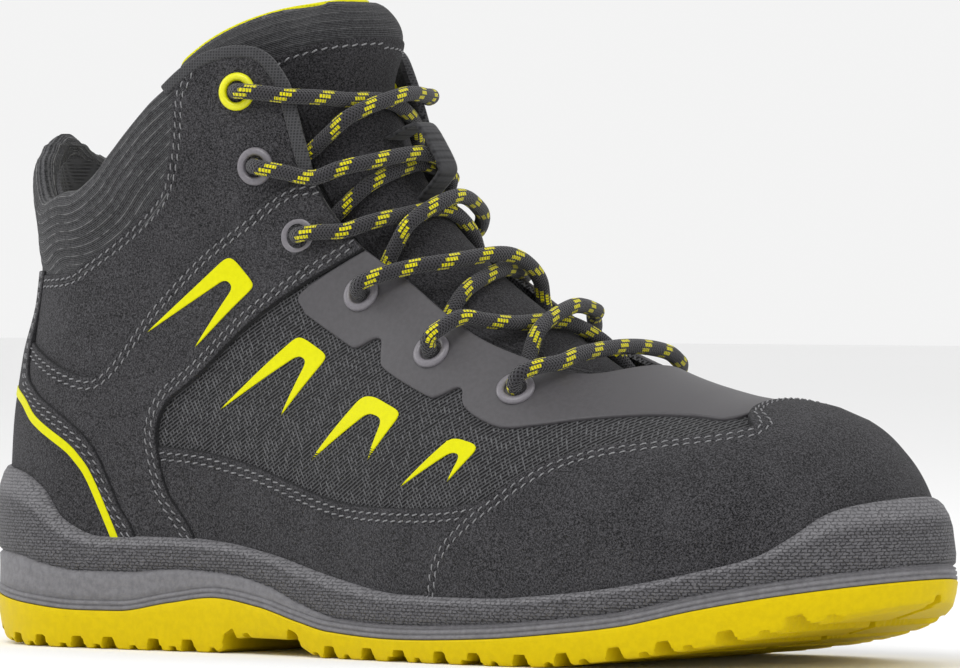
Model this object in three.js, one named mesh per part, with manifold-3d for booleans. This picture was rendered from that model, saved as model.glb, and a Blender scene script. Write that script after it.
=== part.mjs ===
// Right ankle-high laced work and hiking boot, built as separate pieces. Millimetres, +Z up,
// +X to the toe, -Y to the outer (lateral) side. All surfaces come from one smooth foot shape:
// each layer of the upper is that shape moved inwards, and panels are cut from the layers.
import * as THREE from 'three';
import { mergeVertices } from 'three/addons/utils/BufferGeometryUtils.js';
import Module from 'manifold-3d';

const wasm = await Module();
wasm.setup();

// ---- driving dimensions -------------------------------------------------------------------
const GAP = 0.3;               // air between neighbouring pieces
const SEAM = 0.4;              // width of the slot along a seam
const HALF_SPACE = 120;        // half depth of a cutter that crosses the whole boot
const ORIGIN = { x: 0.5, y: 1.6 };
const SOLE_HEEL = -152;        // rear end of the sole
const SOLE_TOE = 153;          // front end of the sole
const PANEL = [0, 2];          // depth of the outer panels below the foot shape
const STIFFENER = [3.3, 4.7];  // toe cap and heel counter
const LINING = [5.2, 6.6];
const KNIT = [-1.2, 4.4];      // padded collar, proud of the panels
const FILM = [-1.1, -GAP];     // moulded overlays and films on the panels
const TONGUE_DEPTH = 8.4;
const TONGUE_THICK = 6;
const TONGUE_FOLD = 153;       // height of the crease below the free top of the tongue
const BOARD_DEPTH = 7.3;       // side gap of the insole board and footbed
const FOOTBED_DEPTH = 8.2;
const LOOPS = 14;
const STEPS_PER_SIDE = 11;
const OVERLAY_EYELETS = 3;     // eyelets 4 to 6 sit on the moulded overlay
const EYELET = { hole: 3, barrel: 3.8, flange: 5.2, lip: 1 };
const LACE_RADIUS = 2.1;
const KEEPER_HALF_WIDTH = 4;
const TREAD_DEPTH = 3.4;

// ---- curves in side view (x, z) -------------------------------------------------------------
const BACK = [[10, -148], [35, -147.5], [60, -146], [80, -143], [95, -140.5], [110, -139.5],
  [125, -141], [140, -142.5], [190, -143]];                             // z -> x of the heel
const FRONT = [[10, 150], [35, 149], [50, 148], [80, 148]];             // z -> x of the toe
const RIDGE = [[170, 63], [140, 66.5], [110, 69.3], [88, 71], [62, 79.3], [35, 96], [10, 114],
  [-8, 132], [-18, 150], [-25, 170], [-30, 205]];                       // top line, toe to shin
const TOPLINE = [[-160, 144], [-143, 144], [-137, 141], [-130, 134], [-121, 128], [-111, 125.5],
  [-102, 129.5], [-95, 136], [-87, 143.5], [-75, 154], [-67, 160], [-60, 163.5], [-51, 165],
  [-44, 163], [-38.5, 156], [-36, 150]];
const THROAT = [[-33, 141], [-28, 127], [-22, 118], [-12.5, 109.5], [5, 99.5], [15, 93.5],
  [30, 85.5], [44, 80], [55, 76.5], [62, 76.5], [67, 80]];
const LINED_THROAT = [[-58, 150], [-54, 132], [-42, 108], [-20, 90], [2, 77], [24, 69],
  [44, 63], [62, 60], [76, 66], [78, 80]];
const KNIT_SEAM = [[-160, 102.5], [-125, 102.5], [-112, 103.3], [-106, 106], [-92, 114],
  [-80, 122.5], [-75, 129], [-72, 140], [-71, 152], [-68, 158], [-62, 175]];
const HEEL_SEAM = [[-126, 106], [-127.5, 92], [-127.3, 76], [-121, 70], [-111, 65], [-104, 61],
  [-98.5, 57], [-94, 51.5], [-87, 39], [-81.5, 31], [-72, 5]];
const COLLAR_SEAM = [[-16, 129], [-28, 128], [-36, 126.5], [-49, 118], [-64, 108], [-80, 93.5],
  [-90, 81.5], [-96, 76], [-101, 74.5], [-110, 76.5], [-122, 81], [-131, 85]];
const BAND_SEAM = [[-4, 115], [-13, 109], [-30, 99], [-45, 88.5], [-61, 75], [-71, 68],
  [-74.5, 61], [-73.5, 53], [-70, 43], [-61, 32], [-46, 5]];
const LOWER_SEAM = [[-80, 56], [-61, 55], [-54, 54], [-39, 51], [-25, 47], [-13, 43.5], [2, 41.2],
  [28, 41], [45, 43], [56, 47]];
const TOE_SEAM = [[24, 5], [27.5, 18], [29, 26], [33.5, 33], [41.5, 39.5], [51, 45.5], [58, 50],
  [66, 54], [77, 57], [93, 59], [107, 60.4], [113, 61.5], [104.5, 64.6], [98, 65.8], [86, 67.4],
  [74, 70.3], [66, 73.5], [58, 78.4]];
const OVERLAY_EDGE = [[-12.5, 109], [-29, 98], [-27.5, 93], [-24, 90.5], [-10, 83.5], [-7, 83],
  [-2, 85.3], [0.5, 85], [2.2, 80], [5, 77], [21, 70.5], [25, 70.3], [29.5, 72.5], [31.5, 72],
  [33.5, 68], [39.5, 64.5], [47.5, 62.2], [57, 63.5], [65, 66.5], [72, 69.5], [80, 71], [90, 71.5]];
const STRIPE_TOP = [[-160, 69.5], [-140, 69], [-129, 66.5], [-121, 61.2], [-108, 54.8],
  [-103, 51], [-99, 46.5], [-94, 38], [-88, 27]];
const STRIPE_WIDTH = 2.4;
const TONGUE_EDGE = [[86, 58], [60, 63], [40, 67], [20, 75], [0, 85], [-18, 96], [-33, 110],
  [-43, 126], [-56, 141], [-68, 151], [-80, 158.5], [-74, 164.5], [-62, 170.5], [-46, 175.5],
  [-30, 178], [-10, 178], [40, 178], [130, 110]];
const TOE_CAP_EDGE = [[88, 5], [90, 40], [100, 64], [96, 90]];
const COUNTER_EDGE = [[-70, 5], [-76, 45], [-92, 74], [-118, 90], [-155, 92]];

// ---- heights and widths along the boot -------------------------------------------------------
const TREAD = [[-152, 7], [-138, 1.5], [-122, 0], [-54, 0], [-42, 4.5], [-26, 4.5], [-12, 0],
  [62, 0], [90, 2.6], [120, 7.5], [153, 17]];
const OUTSOLE_TOP = [[-152, 15], [-137, 13.5], [-120, 11.8], [-100, 10.5], [-86, 10.6], [-68, 13.2],
  [-52, 15], [-35, 13], [-20, 9.5], [-8, 7.2], [18, 6], [48, 7], [73, 9.1], [92, 11.4],
  [113, 16], [131, 19.6], [153, 23.5]];
const RIM_TOP = [[-152, 50], [-128, 48], [-116, 43.5], [-107, 35.5], [-93, 31.3], [-68, 31.5],
  [-50, 30.5], [-31, 27.6], [-8, 22.4], [19, 18.4], [48, 18.2], [73, 20], [97, 23.2],
  [113, 26.5], [127, 31], [136, 36.5], [144, 42], [153, 45]];
const UPPER_BASE = [[-152, 25], [-110, 24.5], [-60, 22], [-20, 17], [20, 12], [60, 11.3],
  [90, 13.8], [120, 20.5], [153, 29]];
const WIDTH = {
  lateral: [[-152, 34], [-110, 36], [-60, 37], [-20, 41], [20, 47], [55, 51], [90, 52], [153, 50]],
  medial: [[-152, 34], [-110, 35.5], [-60, 34], [-20, 35], [20, 41], [60, 47], [90, 46], [120, 41],
    [153, 34]],
};
const SHAFT_WIDTH = { lateral: 36.5, medial: 39 };
const MEDIAL_SHIFT = 5;         // the throat edge and eyelets sit further forward on the inner side
const SOLE_WIDTH = {
  lateral: [[-152, 39], [-110, 40.5], [-60, 40], [-20, 43.5], [20, 49.5], [55, 54], [90, 54.5], [153, 53]],
  medial: [[-152, 39], [-110, 39.5], [-60, 37], [-20, 37.5], [20, 43.5], [60, 50], [90, 49.5],
    [120, 43.5], [153, 34]],
};
const WAIST = [[0, 1], [55, 1], [85, 0.93], [110, 0.86], [130, 0.92], [150, 0.95], [220, 0.93]];
const RIDGE_ROUND = [[0, 30], [0.3, 38], [0.5, 60], [0.62, 66], [0.75, 58], [1, 50]];
const HEEL_ROUND = 44;
const TOE_ROUND = { lateral: 71, medial: 70 };
const SOLE_TOE_ROUND = { lateral: 72, medial: 78 };
const SIDES = { lateral: -1, medial: 1 };

// ---- eyelets, chevrons, lace -----------------------------------------------------------------
const EYELETS = [[-51, 152.3], [-45, 132], [-32, 113], [-10, 97.3], [18.3, 82], [46, 72]];
// Where the lace goes over the throat edge into each eyelet, and where it comes out below the edge.
const LACE_OVER = [[-36.5, 150.5], [-28.5, 128.5], [-18, 114], [0, 102], [24, 89], [53, 76.7]];
const LACE_UNDER = [null, [-31.5, 136.5], [-23.5, 120], [-8, 107], [15, 93.5], [43, 80.5]];
const CHEVRONS = [
  [[-54, 107], [-51.5, 107], [-44.5, 100.5], [-44, 98.8], [-62.5, 82.4], [-50.5, 99], [-53.5, 101.3],
    [-80, 86.4]],
  [[-28.5, 85.8], [-26, 85.6], [-18, 81.6], [-17.2, 80], [-30, 64.4], [-23.5, 79.5], [-26.8, 81],
    [-53, 65.8]],
  [[-1.2, 70.2], [3.2, 70.2], [13, 66.6], [13.4, 64.8], [4.5, 53.2], [8, 64.4], [2.3, 66], [-17.5, 52.6]],
  [[32, 59.3], [34.8, 59.5], [41, 58], [41.2, 56.2], [33.5, 47.8], [36.8, 55.2], [33.6, 56], [17, 46.2]],
];

// ---- materials ---------------------------------------------------------------------------------
const finish = (color, roughness) => new THREE.MeshStandardMaterial({ color, roughness, metalness: 0 });
const SUEDE = finish(0x3c3c3e, 0.95);
const MESH = finish(0x343436, 0.9);
const KNIT_CLOTH = finish(0x48484a, 0.95);
const OVERLAY = finish(0x575658, 0.5);
const YELLOW_FILM = finish(0xe4e400, 0.45);
const YELLOW_RUBBER = finish(0xe0cc00, 0.6);
const FOAM_GREY = finish(0x7c7c7e, 0.75);
const GREY_PLASTIC = finish(0x7c7a80, 0.4);
const LACE_CORD = finish(0x38373a, 0.9);
const LINING_CLOTH = finish(0x2c2c2e, 0.95);
const BOARD = finish(0xb8b2a2, 0.9);
const SHANK_STEEL = finish(0x8a8c90, 0.4);
const STIFF_PLASTIC = finish(0x202022, 0.5);

// ---- foot shape ---------------------------------------------------------------------------------
const clamp01 = (t) => Math.min(1, Math.max(0, t));
const smooth = (t) => clamp01(t) ** 2 * (3 - 2 * clamp01(t));

// Smooth curve through points that never overshoots them (monotone cubic).
function through(points) {
  const gaps = points.slice(1).map(([x], i) => x - points[i][0]);
  const rises = points.slice(1).map(([, y], i) => (y - points[i][1]) / gaps[i]);
  const slopes = points.map((_, i) => {
    if (i === 0) return rises[0];
    if (i === rises.length) return rises[i - 1];
    if (rises[i - 1] * rises[i] <= 0) return 0;
    const before = 2 * gaps[i] + gaps[i - 1];
    const after = gaps[i] + 2 * gaps[i - 1];
    return (before + after) / (before / rises[i - 1] + after / rises[i]);
  });
  return (value) => {
    const x = Math.min(points.at(-1)[0], Math.max(points[0][0], value));
    const i = Math.max(0, points.findLastIndex(([px], k) => px <= x && k < gaps.length));
    const t = (x - points[i][0]) / gaps[i];
    return (1 + 2 * t) * (1 - t) ** 2 * points[i][1] + t * (1 - t) ** 2 * gaps[i] * slopes[i]
      + t * t * (3 - 2 * t) * points[i + 1][1] + t * t * (t - 1) * gaps[i] * slopes[i + 1];
  };
}

const backAt = through(BACK);
const frontAt = through(FRONT);
const waistAt = through(WAIST);
const ridgeRoundAt = through(RIDGE_ROUND);
const widthAt = { lateral: through(WIDTH.lateral), medial: through(WIDTH.medial) };
const centreAt = (x) => 9 * smooth((x - 5) / 145);
const ridgeCurve = new THREE.SplineCurve(RIDGE.map(([x, z]) => new THREE.Vector2(x, z)));
const ridgeLine = ridgeCurve.getSpacedPoints(90);

// Distance below the ridge line (negative above it) and how far along the line that is.
function ridgeDistance(x, z) {
  let best = Infinity;
  let along = 0;
  let inside = 1;
  for (let i = 0; i + 1 < ridgeLine.length; i += 1) {
    const a = ridgeLine[i];
    const dx = ridgeLine[i + 1].x - a.x;
    const dz = ridgeLine[i + 1].y - a.y;
    const t = clamp01(((x - a.x) * dx + (z - a.y) * dz) / (dx * dx + dz * dz));
    const distance = Math.hypot(x - a.x - t * dx, z - a.y - t * dz);
    if (distance < best) {
      best = distance;
      along = (i + t) / (ridgeLine.length - 1);
      inside = dx * (z - a.y) - dz * (x - a.x) >= 0 ? 1 : -1;
    }
  }
  return [best * inside, along];
}

// Share of the full half breadth left at (x, z), squared, with the shape moved in by depth.
function fullness(x, z, side, depth) {
  const [below, along] = ridgeDistance(x, z);
  const heel = (x - backAt(z) - depth) / (HEEL_ROUND - depth);
  const toe = (frontAt(z) - x - depth) / (TOE_ROUND[side] - depth);
  const ridge = (below - depth) / (ridgeRoundAt(along) - depth);
  const loss = (share, power) => Math.max(0, 1 - share) ** power;
  return 1 - loss(heel, 2.1) - loss(toe, 2.8) - loss(ridge, 2.1);
}

function halfBreadth(x, z, side, depth) {
  const toShaft = smooth((z - 45) / 60) * smooth((40 - x) / 80);
  const plain = widthAt[side](x) * (1 - toShaft) + SHAFT_WIDTH[side] * toShaft;
  const waist = 1 + (waistAt(z) - 1) * smooth((60 - x) / 90);
  return (plain * waist - depth) * Math.sqrt(Math.max(0, fullness(x, z, side, depth)));
}

// ---- solids ---------------------------------------------------------------------------------------
function toSolid(geometry) {
  geometry.deleteAttribute('normal');
  geometry.deleteAttribute('uv');
  const merged = mergeVertices(geometry, 1e-3);
  return new wasm.Manifold(new wasm.Mesh({
    numProp: 3,
    vertProperties: new Float32Array(merged.attributes.position.array),
    triVerts: new Uint32Array(merged.index.array),
  }));
}

function toMesh(name, solid, material) {
  const data = solid.getMesh();
  const geometry = new THREE.BufferGeometry();
  geometry.setAttribute('position', new THREE.BufferAttribute(new Float32Array(data.vertProperties), 3));
  geometry.setIndex(new THREE.BufferAttribute(new Uint32Array(data.triVerts), 1));
  geometry.computeVertexNormals();
  const mesh = new THREE.Mesh(geometry, material);
  mesh.name = name;
  return mesh;
}

// End of a loop in side view, where the breadth falls to nothing.
function closingPoint(from, to, side, depthAt) {
  let out = 0;
  let inner = 0.5;
  const at = (t) => [from[0] + (to[0] - from[0]) * t, from[1] + (to[1] - from[1]) * t];
  for (let i = 0; i < 26; i += 1) {
    const t = (out + inner) / 2;
    const [x, z] = at(t);
    if (fullness(x, z, side, depthAt(x, z)) > 0) inner = t;
    else out = t;
  }
  return at(inner);
}

// Side-view end points of loop number i, a little outside the shape, from sole level to the shin.
function loopEnds(i) {
  const t = i / LOOPS;
  const low = 8;
  const high = 190;
  const outside = 3;
  const toeTop = 64;
  const toeShare = 0.2;
  const ridgeShare = [0.06, 0.95];
  const level = low + (high - low) * t;
  const back = [backAt(level) - outside, level];
  if (t < toeShare) return [back, [frontAt(low) + outside, low + (toeTop - low) * (t / toeShare)]];
  const share = ridgeShare[0] + (ridgeShare[1] - ridgeShare[0]) * ((t - toeShare) / (1 - toeShare));
  const point = ridgeCurve.getPointAt(share);
  const tangent = ridgeCurve.getTangentAt(share);
  return [back, [point.x + tangent.y * outside, point.y - tangent.x * outside]];
}

// Closed solid of the foot shape moved inwards by depth, a number or a function of (x, z).
function foot(depth) {
  const depthAt = typeof depth === 'number' ? () => depth : depth;
  const positions = [];
  const push = (x, y, z) => positions.push(x, y, z) / 3 - 1;
  const rings = [];
  for (let i = 0; i <= LOOPS; i += 1) {
    const [back, front] = loopEnds(i);
    const ring = [];
    const heel = closingPoint(back, front, 'medial', depthAt);
    const toe = closingPoint(front, back, 'medial', depthAt);
    for (const side of ['lateral', 'medial']) {
      for (let k = 0; k < STEPS_PER_SIDE; k += 1) {
        const turn = (1 - Math.cos((Math.PI * k) / STEPS_PER_SIDE)) / 2;
        const share = side === 'lateral' ? turn : 1 - turn;
        const x = heel[0] + (toe[0] - heel[0]) * share;
        const z = heel[1] + (toe[1] - heel[1]) * share;
        const half = k === 0 ? 0 : halfBreadth(x, z, side, depthAt(x, z));
        ring.push(push(x, centreAt(x) + SIDES[side] * half, z));
      }
    }
    rings.push(ring);
  }
  return toSolid(ringGeometry(positions, rings));
}

// Closed geometry through rings of equal length, capped by fans at both ends.
function ringGeometry(positions, rings) {
  const index = [];
  const count = rings[0].length;
  for (let i = 0; i + 1 < rings.length; i += 1) {
    for (let k = 0; k < count; k += 1) {
      const next = (k + 1) % count;
      index.push(rings[i][k], rings[i][next], rings[i + 1][next]);
      index.push(rings[i][k], rings[i + 1][next], rings[i + 1][k]);
    }
  }
  const cap = (ring, flip) => {
    for (let k = 1; k < count / 2; k += 1) {
      const [a, b, c, d] = [ring[k - 1], ring[k], ring[count - k], ring[(count - k + 1) % count]];
      const corners = k === 1 ? [[a, b, c]] : [[a, b, c], [a, c, d]];
      corners.forEach(([p, q, r]) => index.push(...(flip ? [p, r, q] : [p, q, r])));
    }
    const middle = [ring[count / 2 - 1], ring[count / 2], ring[count / 2 + 1]];
    index.push(...(flip ? [middle[0], middle[2], middle[1]] : middle));
  };
  cap(rings[0], true);
  cap(rings.at(-1), false);
  const geometry = new THREE.BufferGeometry();
  geometry.setAttribute('position', new THREE.Float32BufferAttribute(positions, 3));
  geometry.setIndex(index);
  return geometry;
}

const layers = new Map();
function shell([outer, inner]) {
  for (const depth of [outer, inner]) {
    if (!layers.has(depth)) layers.set(depth, foot(depth));
  }
  return layers.get(outer).subtract(layers.get(inner));
}

// Prism of a side-view outline, from y = low to y = high.
function sidePrism(outline, low = -HALF_SPACE, high = HALF_SPACE) {
  const shape = new THREE.Shape(outline.map(([x, z]) => new THREE.Vector2(x, z)));
  const geometry = new THREE.ExtrudeGeometry(shape, { depth: high - low, bevelEnabled: false });
  geometry.rotateX(Math.PI / 2);
  geometry.translate(0, high, 0);
  return toSolid(geometry);
}

// Thin side-view strip that follows a line; it cuts one panel from the next. Each stretch is a
// quad of its own, so a sharp corner in the line stays a clean solid.
function strip(line, above, below) {
  const overlap = 0.05;
  const pieces = line.slice(1).map((b, i) => {
    const a = line[i];
    const length = Math.hypot(b[0] - a[0], b[1] - a[1]);
    const [ux, uz] = [(b[0] - a[0]) / length, (b[1] - a[1]) / length];
    const corner = ([x, z], back, up) => [x + ux * back - uz * up, z + uz * back + ux * up];
    return sidePrism([corner(a, -overlap, -below), corner(b, overlap, -below),
      corner(b, overlap, above), corner(a, -overlap, above)]);
  });
  return pieces.reduce((left, piece) => left.add(piece));
}

const along = (curve, from, to, step) => {
  const count = Math.round((to - from) / step);
  return Array.from({ length: count + 1 }, (_, i) => {
    const x = from + ((to - from) * i) / count;
    return [x, curve(x)];
  });
};

// Slab between two height curves over the whole boot.
function slab(lower, upper, step = 12) {
  const from = SOLE_HEEL - 8;
  const to = SOLE_TOE + 7;
  return sidePrism([...along(lower, from, to, step), ...along(upper, from, to, step).reverse()]);
}

const raised = (points, amount) => {
  const curve = through(points);
  return (x) => curve(x) + amount;
};
const constant = (value) => () => value;

// ---- sole ----------------------------------------------------------------------------------------
function soleOutline(inset) {
  const edge = (side) => {
    const width = through(SOLE_WIDTH[side]);
    const count = 26;
    return Array.from({ length: count + 1 }, (_, k) => {
      const share = (1 - Math.cos((Math.PI * k) / count)) / 2;
      const from = SOLE_HEEL + inset;
      const to = SOLE_TOE - inset;
      const x = from + (to - from) * share;
      const heel = Math.max(0, 1 - (x - from) / (HEEL_ROUND + 2)) ** 2.1;
      const toe = Math.max(0, 1 - (to - x) / SOLE_TOE_ROUND[side]) ** 2.8;
      return [x, centreAt(x) + SIDES[side] * (width(x) - inset) * Math.sqrt(Math.max(0, 1 - heel - toe))];
    });
  };
  return [...edge('lateral'), ...edge('medial').slice(1, -1).reverse()];
}

function planPrism(outline, low, high) {
  const shape = new THREE.Shape(outline.map(([x, y]) => new THREE.Vector2(x, y)));
  const geometry = new THREE.ExtrudeGeometry(shape, { depth: high - low, bevelEnabled: false });
  geometry.translate(0, 0, low);
  return toSolid(geometry);
}

function block(x, y, z, width, length, height) {
  const geometry = new THREE.BoxGeometry(width, length, height);
  geometry.translate(x, y, z);
  return toSolid(geometry);
}

const SHANK = { from: -96, to: 6, half: 9, top: 1, bottom: 3 };
const shankShape = (grow) => sidePrism([
  ...along(raised(UPPER_BASE, -SHANK.bottom - grow), SHANK.from - grow, SHANK.to + grow, 17),
  ...along(raised(UPPER_BASE, grow > 0 ? 2 : -SHANK.top), SHANK.from - grow, SHANK.to + grow, 17).reverse(),
], -SHANK.half - grow, SHANK.half + grow);

function outsole() {
  let body = planPrism(soleOutline(0), -5, 60).intersect(slab(raised(TREAD, 0), raised(OUTSOLE_TOP, 0)));
  const grooves = [-137, -122, -107, -92, -77, -62, -48, -22, -6, 10, 26, 42, 58, 74, 90, 106, 122, 138];
  const tread = through(TREAD);
  for (const x of grooves) {
    const floor = tread(x) + TREAD_DEPTH;
    body = body.subtract(block(x, 0, floor - 12, 4.4, 2 * HALF_SPACE, 24));
  }
  return body;
}

function midsole() {
  const outer = planPrism(soleOutline(0), 0, 60)
    .intersect(slab(raised(OUTSOLE_TOP, GAP), raised(RIM_TOP, 0)));
  const cup = foot(-GAP).intersect(slab(raised(UPPER_BASE, -GAP), constant(220)));
  return outer.subtract(cup).subtract(shankShape(GAP));
}

// ---- upper ----------------------------------------------------------------------------------------
const aboveBase = slab(raised(UPPER_BASE, 0), constant(230));

// Side-view point of the outer side's throat or eyelets, moved to where the given side has it.
function onSide([x, z], side) {
  if (side === 'lateral') return [x, z];
  return [x + MEDIAL_SHIFT * smooth((z - 80) / 26) * smooth((x + 110) / 50), z];
}

function mouthOn(side, low, high) {
  const edge = [...TOPLINE, ...THROAT].map((point) => onSide(point, side));
  return sidePrism([...edge, [67, 240], [-160, 240]], low, high);
}
const mouth = mouthOn('lateral', -HALF_SPACE, 0).add(mouthOn('medial', 0, HALF_SPACE));

function pierce(solid) {
  return EYELETS.reduce((left, eyelet) => Object.keys(SIDES).reduce(
    (body, side) => body.subtract(eyeletFrame(eyelet, side, holeCutter())), left), solid);
}

function surfacePoint(x, z, side, depth) {
  return new THREE.Vector3(x, centreAt(x) + SIDES[side] * halfBreadth(x, z, side, depth), z);
}

function surfaceNormal(x, z, side) {
  const step = 1.5;
  const alongX = surfacePoint(x + step, z, side, 0).sub(surfacePoint(x - step, z, side, 0));
  const alongZ = surfacePoint(x, z + step, side, 0).sub(surfacePoint(x, z - step, side, 0));
  return alongX.cross(alongZ).normalize().multiplyScalar(-SIDES[side]);
}

// Places a solid built around +Z at an eyelet, with +Z pointing out of the upper.
function eyeletFrame(eyelet, side, geometry) {
  const [x, z] = onSide(eyelet, side);
  const up = new THREE.Vector3(0, 0, 1);
  const turn = new THREE.Quaternion().setFromUnitVectors(up, surfaceNormal(x, z, side));
  geometry.applyQuaternion(turn);
  const place = surfacePoint(x, z, side, 0);
  geometry.translate(place.x, place.y, place.z);
  return toSolid(geometry);
}

function holeCutter() {
  return new THREE.CylinderGeometry(EYELET.barrel + GAP, EYELET.barrel + GAP, 14, 10).rotateX(Math.PI / 2);
}

function eyeletRing(seat) {
  const { hole, barrel, flange, lip } = EYELET;
  const inside = -PANEL[1] - 2 * GAP;
  const profile = [[hole, inside], [barrel, inside], [barrel, seat], [flange, seat],
    [flange - 0.5, seat + lip], [hole, seat + lip], [hole, inside]];
  return new THREE.LatheGeometry(profile.map(([r, h]) => new THREE.Vector2(r, h)), 10).rotateX(Math.PI / 2);
}

const has = (solid, x, z, side) => {
  const centre = surfacePoint(x, z, side, (PANEL[0] + PANEL[1]) / 2);
  return solid.intersect(block(centre.x, centre.y, centre.z, 1, 1, 1)).volume() > 0.01;
};

function outerPanels() {
  const seams = [KNIT_SEAM, HEEL_SEAM, COLLAR_SEAM, BAND_SEAM, LOWER_SEAM, TOE_SEAM];
  const cutters = seams.map((line) => strip(line, SEAM / 2, SEAM / 2));
  const body = shell(PANEL).intersect(aboveBase).subtract(mouth);
  const pieces = pierce(cutters.reduce((left, cutter) => left.subtract(cutter), body)).decompose();
  const pick = (x, z, side) => pieces.find((piece) => has(piece, x, z, side));
  return [
    ['heel_panel', pick(-115, 45, 'lateral'), SUEDE],
    ['toe_panel', pick(90, 45, 'lateral'), SUEDE],
    ...Object.keys(SIDES).flatMap((side) => [
      [`collar_panel_${side}`, pick(-60, 130, side), SUEDE],
      [`side_band_${side}`, pick(-90, 60, side), SUEDE],
      [`mesh_quarter_${side}`, pick(-25, 60, side), MESH],
      [`lower_quarter_${side}`, pick(-20, 35, side), SUEDE],
    ]),
  ];
}

function collarPadding() {
  const region = [...KNIT_SEAM.map(([x, z]) => [x - 0.3, z + 0.4]), [-62, 240], [-160, 240]];
  return shell(KNIT).intersect(sidePrism(region)).subtract(mouth);
}

function lining() {
  const opening = [...TOPLINE.slice(0, -4), ...LINED_THROAT, [78, 240], [-160, 240]];
  return shell(LINING).intersect(aboveBase).subtract(sidePrism(opening));
}

const toeCap = () => shell(STIFFENER).intersect(aboveBase)
  .intersect(sidePrism([...TOE_CAP_EDGE, [170, 90], [170, 5]]));

const heelCounter = () => shell(STIFFENER).intersect(aboveBase)
  .intersect(sidePrism([...COUNTER_EDGE, [-160, 5]]));

function eyestayOverlay() {
  const region = [...OVERLAY_EDGE, [90, 100], [-4, 120]];
  const body = shell(FILM).intersect(sidePrism(region)).subtract(mouth);
  return pierce(body);
}

const heelStripe = () => shell(FILM).intersect(strip(STRIPE_TOP, 0, STRIPE_WIDTH))
  .intersect(slab(raised(RIM_TOP, GAP), constant(90)));

const chevron = (outline, side) => shell(FILM)
  .intersect(side === 'lateral' ? sidePrism(outline, -HALF_SPACE, 0) : sidePrism(outline, 8, HALF_SPACE));

// ---- tongue ---------------------------------------------------------------------------------------
const tongueDepth = (extra) => (x, z) => {
  const [below] = ridgeDistance(x, z);
  const padded = 6.4 * smooth((z - 151) / 18) * smooth((x + 46) / 14);
  return TONGUE_DEPTH + extra + 1.2 * smooth((below - 22) / 22) - padded;
};

// The tongue below the fold stays put under the lace; above it the padded top hinges forwards.
function tongueLayer(from, to, edge, isTop) {
  const fold = TONGUE_FOLD + (isTop ? GAP : 0);
  const reach = 160;
  const span = isTop ? [fold, 240] : [0, fold];
  const half = sidePrism([[-reach, span[0]], [reach, span[0]], [reach, span[1]], [-reach, span[1]]]);
  return foot(tongueDepth(from)).subtract(foot(tongueDepth(to))).intersect(sidePrism(edge)).intersect(half);
}

const tongue = (isTop) => tongueLayer(0, TONGUE_THICK, TONGUE_EDGE, isTop);

function tongueLining(isTop) {
  const inner = TONGUE_EDGE.map(([x, z]) => [x + 1, z + (z < 165 ? 1 : 0)]);
  return tongueLayer(TONGUE_THICK + GAP, TONGUE_THICK + GAP + 1.2, inner, isTop);
}

// ---- lace ------------------------------------------------------------------------------------------
const between = (a, b, t) => [a[0] + (b[0] - a[0]) * t, a[1] + (b[1] - a[1]) * t];
const opposite = (side) => (side === 'lateral' ? 'medial' : 'lateral');

// Point at a depth below the upper's surface, part of the way from one side-view point to another.
function laceAt(from, to, share, side, depth) {
  const [x, z] = between(from, to, share);
  return surfacePoint(x, z, side, 0).addScaledVector(surfaceNormal(x, z, side), -depth);
}

function nearestOnRidge([x, z]) {
  const distance = (point) => Math.hypot(point.x - x, point.y - z);
  return ridgeLine.reduce((best, point) => (distance(point) < distance(best) ? point : best));
}

// Side-view point beside a ridge point: shift along the ridge towards the shin, depth below it.
function besideRidge(point, shift, depth) {
  const i = ridgeLine.indexOf(point);
  const tangent = ridgeLine[i + 1].clone().sub(ridgeLine[i - 1]).normalize();
  return [point.x + tangent.x * shift - tangent.y * depth, point.y + tangent.y * shift + tangent.x * depth];
}

// Ridge point where the two strands between eyelets i + 1 and i cross.
function crossingCentre(i) {
  const from = nearestOnRidge(LACE_UNDER[i + 1]);
  const to = nearestOnRidge(LACE_OVER[i]);
  return nearestOnRidge([(from.x + to.x) / 2, (from.y + to.y) / 2]);
}

// Over the throat edge, down through eyelet i and back to the edge on the inside.
function throughEyelet(i, side) {
  const eyelet = onSide(EYELETS[i], side);
  const edge = onSide(LACE_OVER[i], side);
  const overlay = i >= EYELETS.length - OVERLAY_EYELETS ? 1.1 : 0;
  const [x, z] = eyelet;
  const inHole = (depth) => laceAt(eyelet, edge, 0, side, depth);
  const down = [laceAt(edge, eyelet, 0, side, -2.8 - overlay), laceAt(edge, eyelet, 0.5, side, -4.4 - overlay),
    laceAt(edge, eyelet, 0.84, side, -4.5 - overlay), inHole(-1.9 - overlay), inHole(0.3), inHole(2.7)];
  if (i === 0) {
    const tucked = [x + 3, z - 9];
    return [...down, laceAt(eyelet, tucked, 0.12, side, 5), laceAt(eyelet, tucked, 1, side, 6)];
  }
  const under = onSide(LACE_UNDER[i], side);
  return [...down, laceAt(eyelet, under, 0.1, side, 4.7), laceAt(eyelet, under, 0.42, side, 5.3),
    laceAt(eyelet, under, 0.9, side, 5.2)];
}

// From below the edge of one side, over the tongue, to eyelet i of the other side.
function crossing(i, side, onTop) {
  const centre = crossingCentre(i);
  const ridge = [centre.x, centre.y];
  const from = onSide(LACE_UNDER[i + 1], side);
  const to = onSide(LACE_OVER[i], opposite(side));
  const [x, z] = besideRidge(centre, 0, onTop ? -0.6 : 4.4);
  const depths = onTop ? [3.4, 0.8, -1.4, -2.8] : [4.6, 4.4, 2.8, -0.2];
  return [laceAt(from, ridge, 0.3, side, depths[0]), laceAt(from, ridge, 0.62, side, depths[1]),
    new THREE.Vector3(x, centreAt(x), z), laceAt(to, ridge, 0.62, opposite(side), depths[2]),
    laceAt(to, ridge, 0.3, opposite(side), depths[3]), ...throughEyelet(i, opposite(side))];
}

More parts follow.
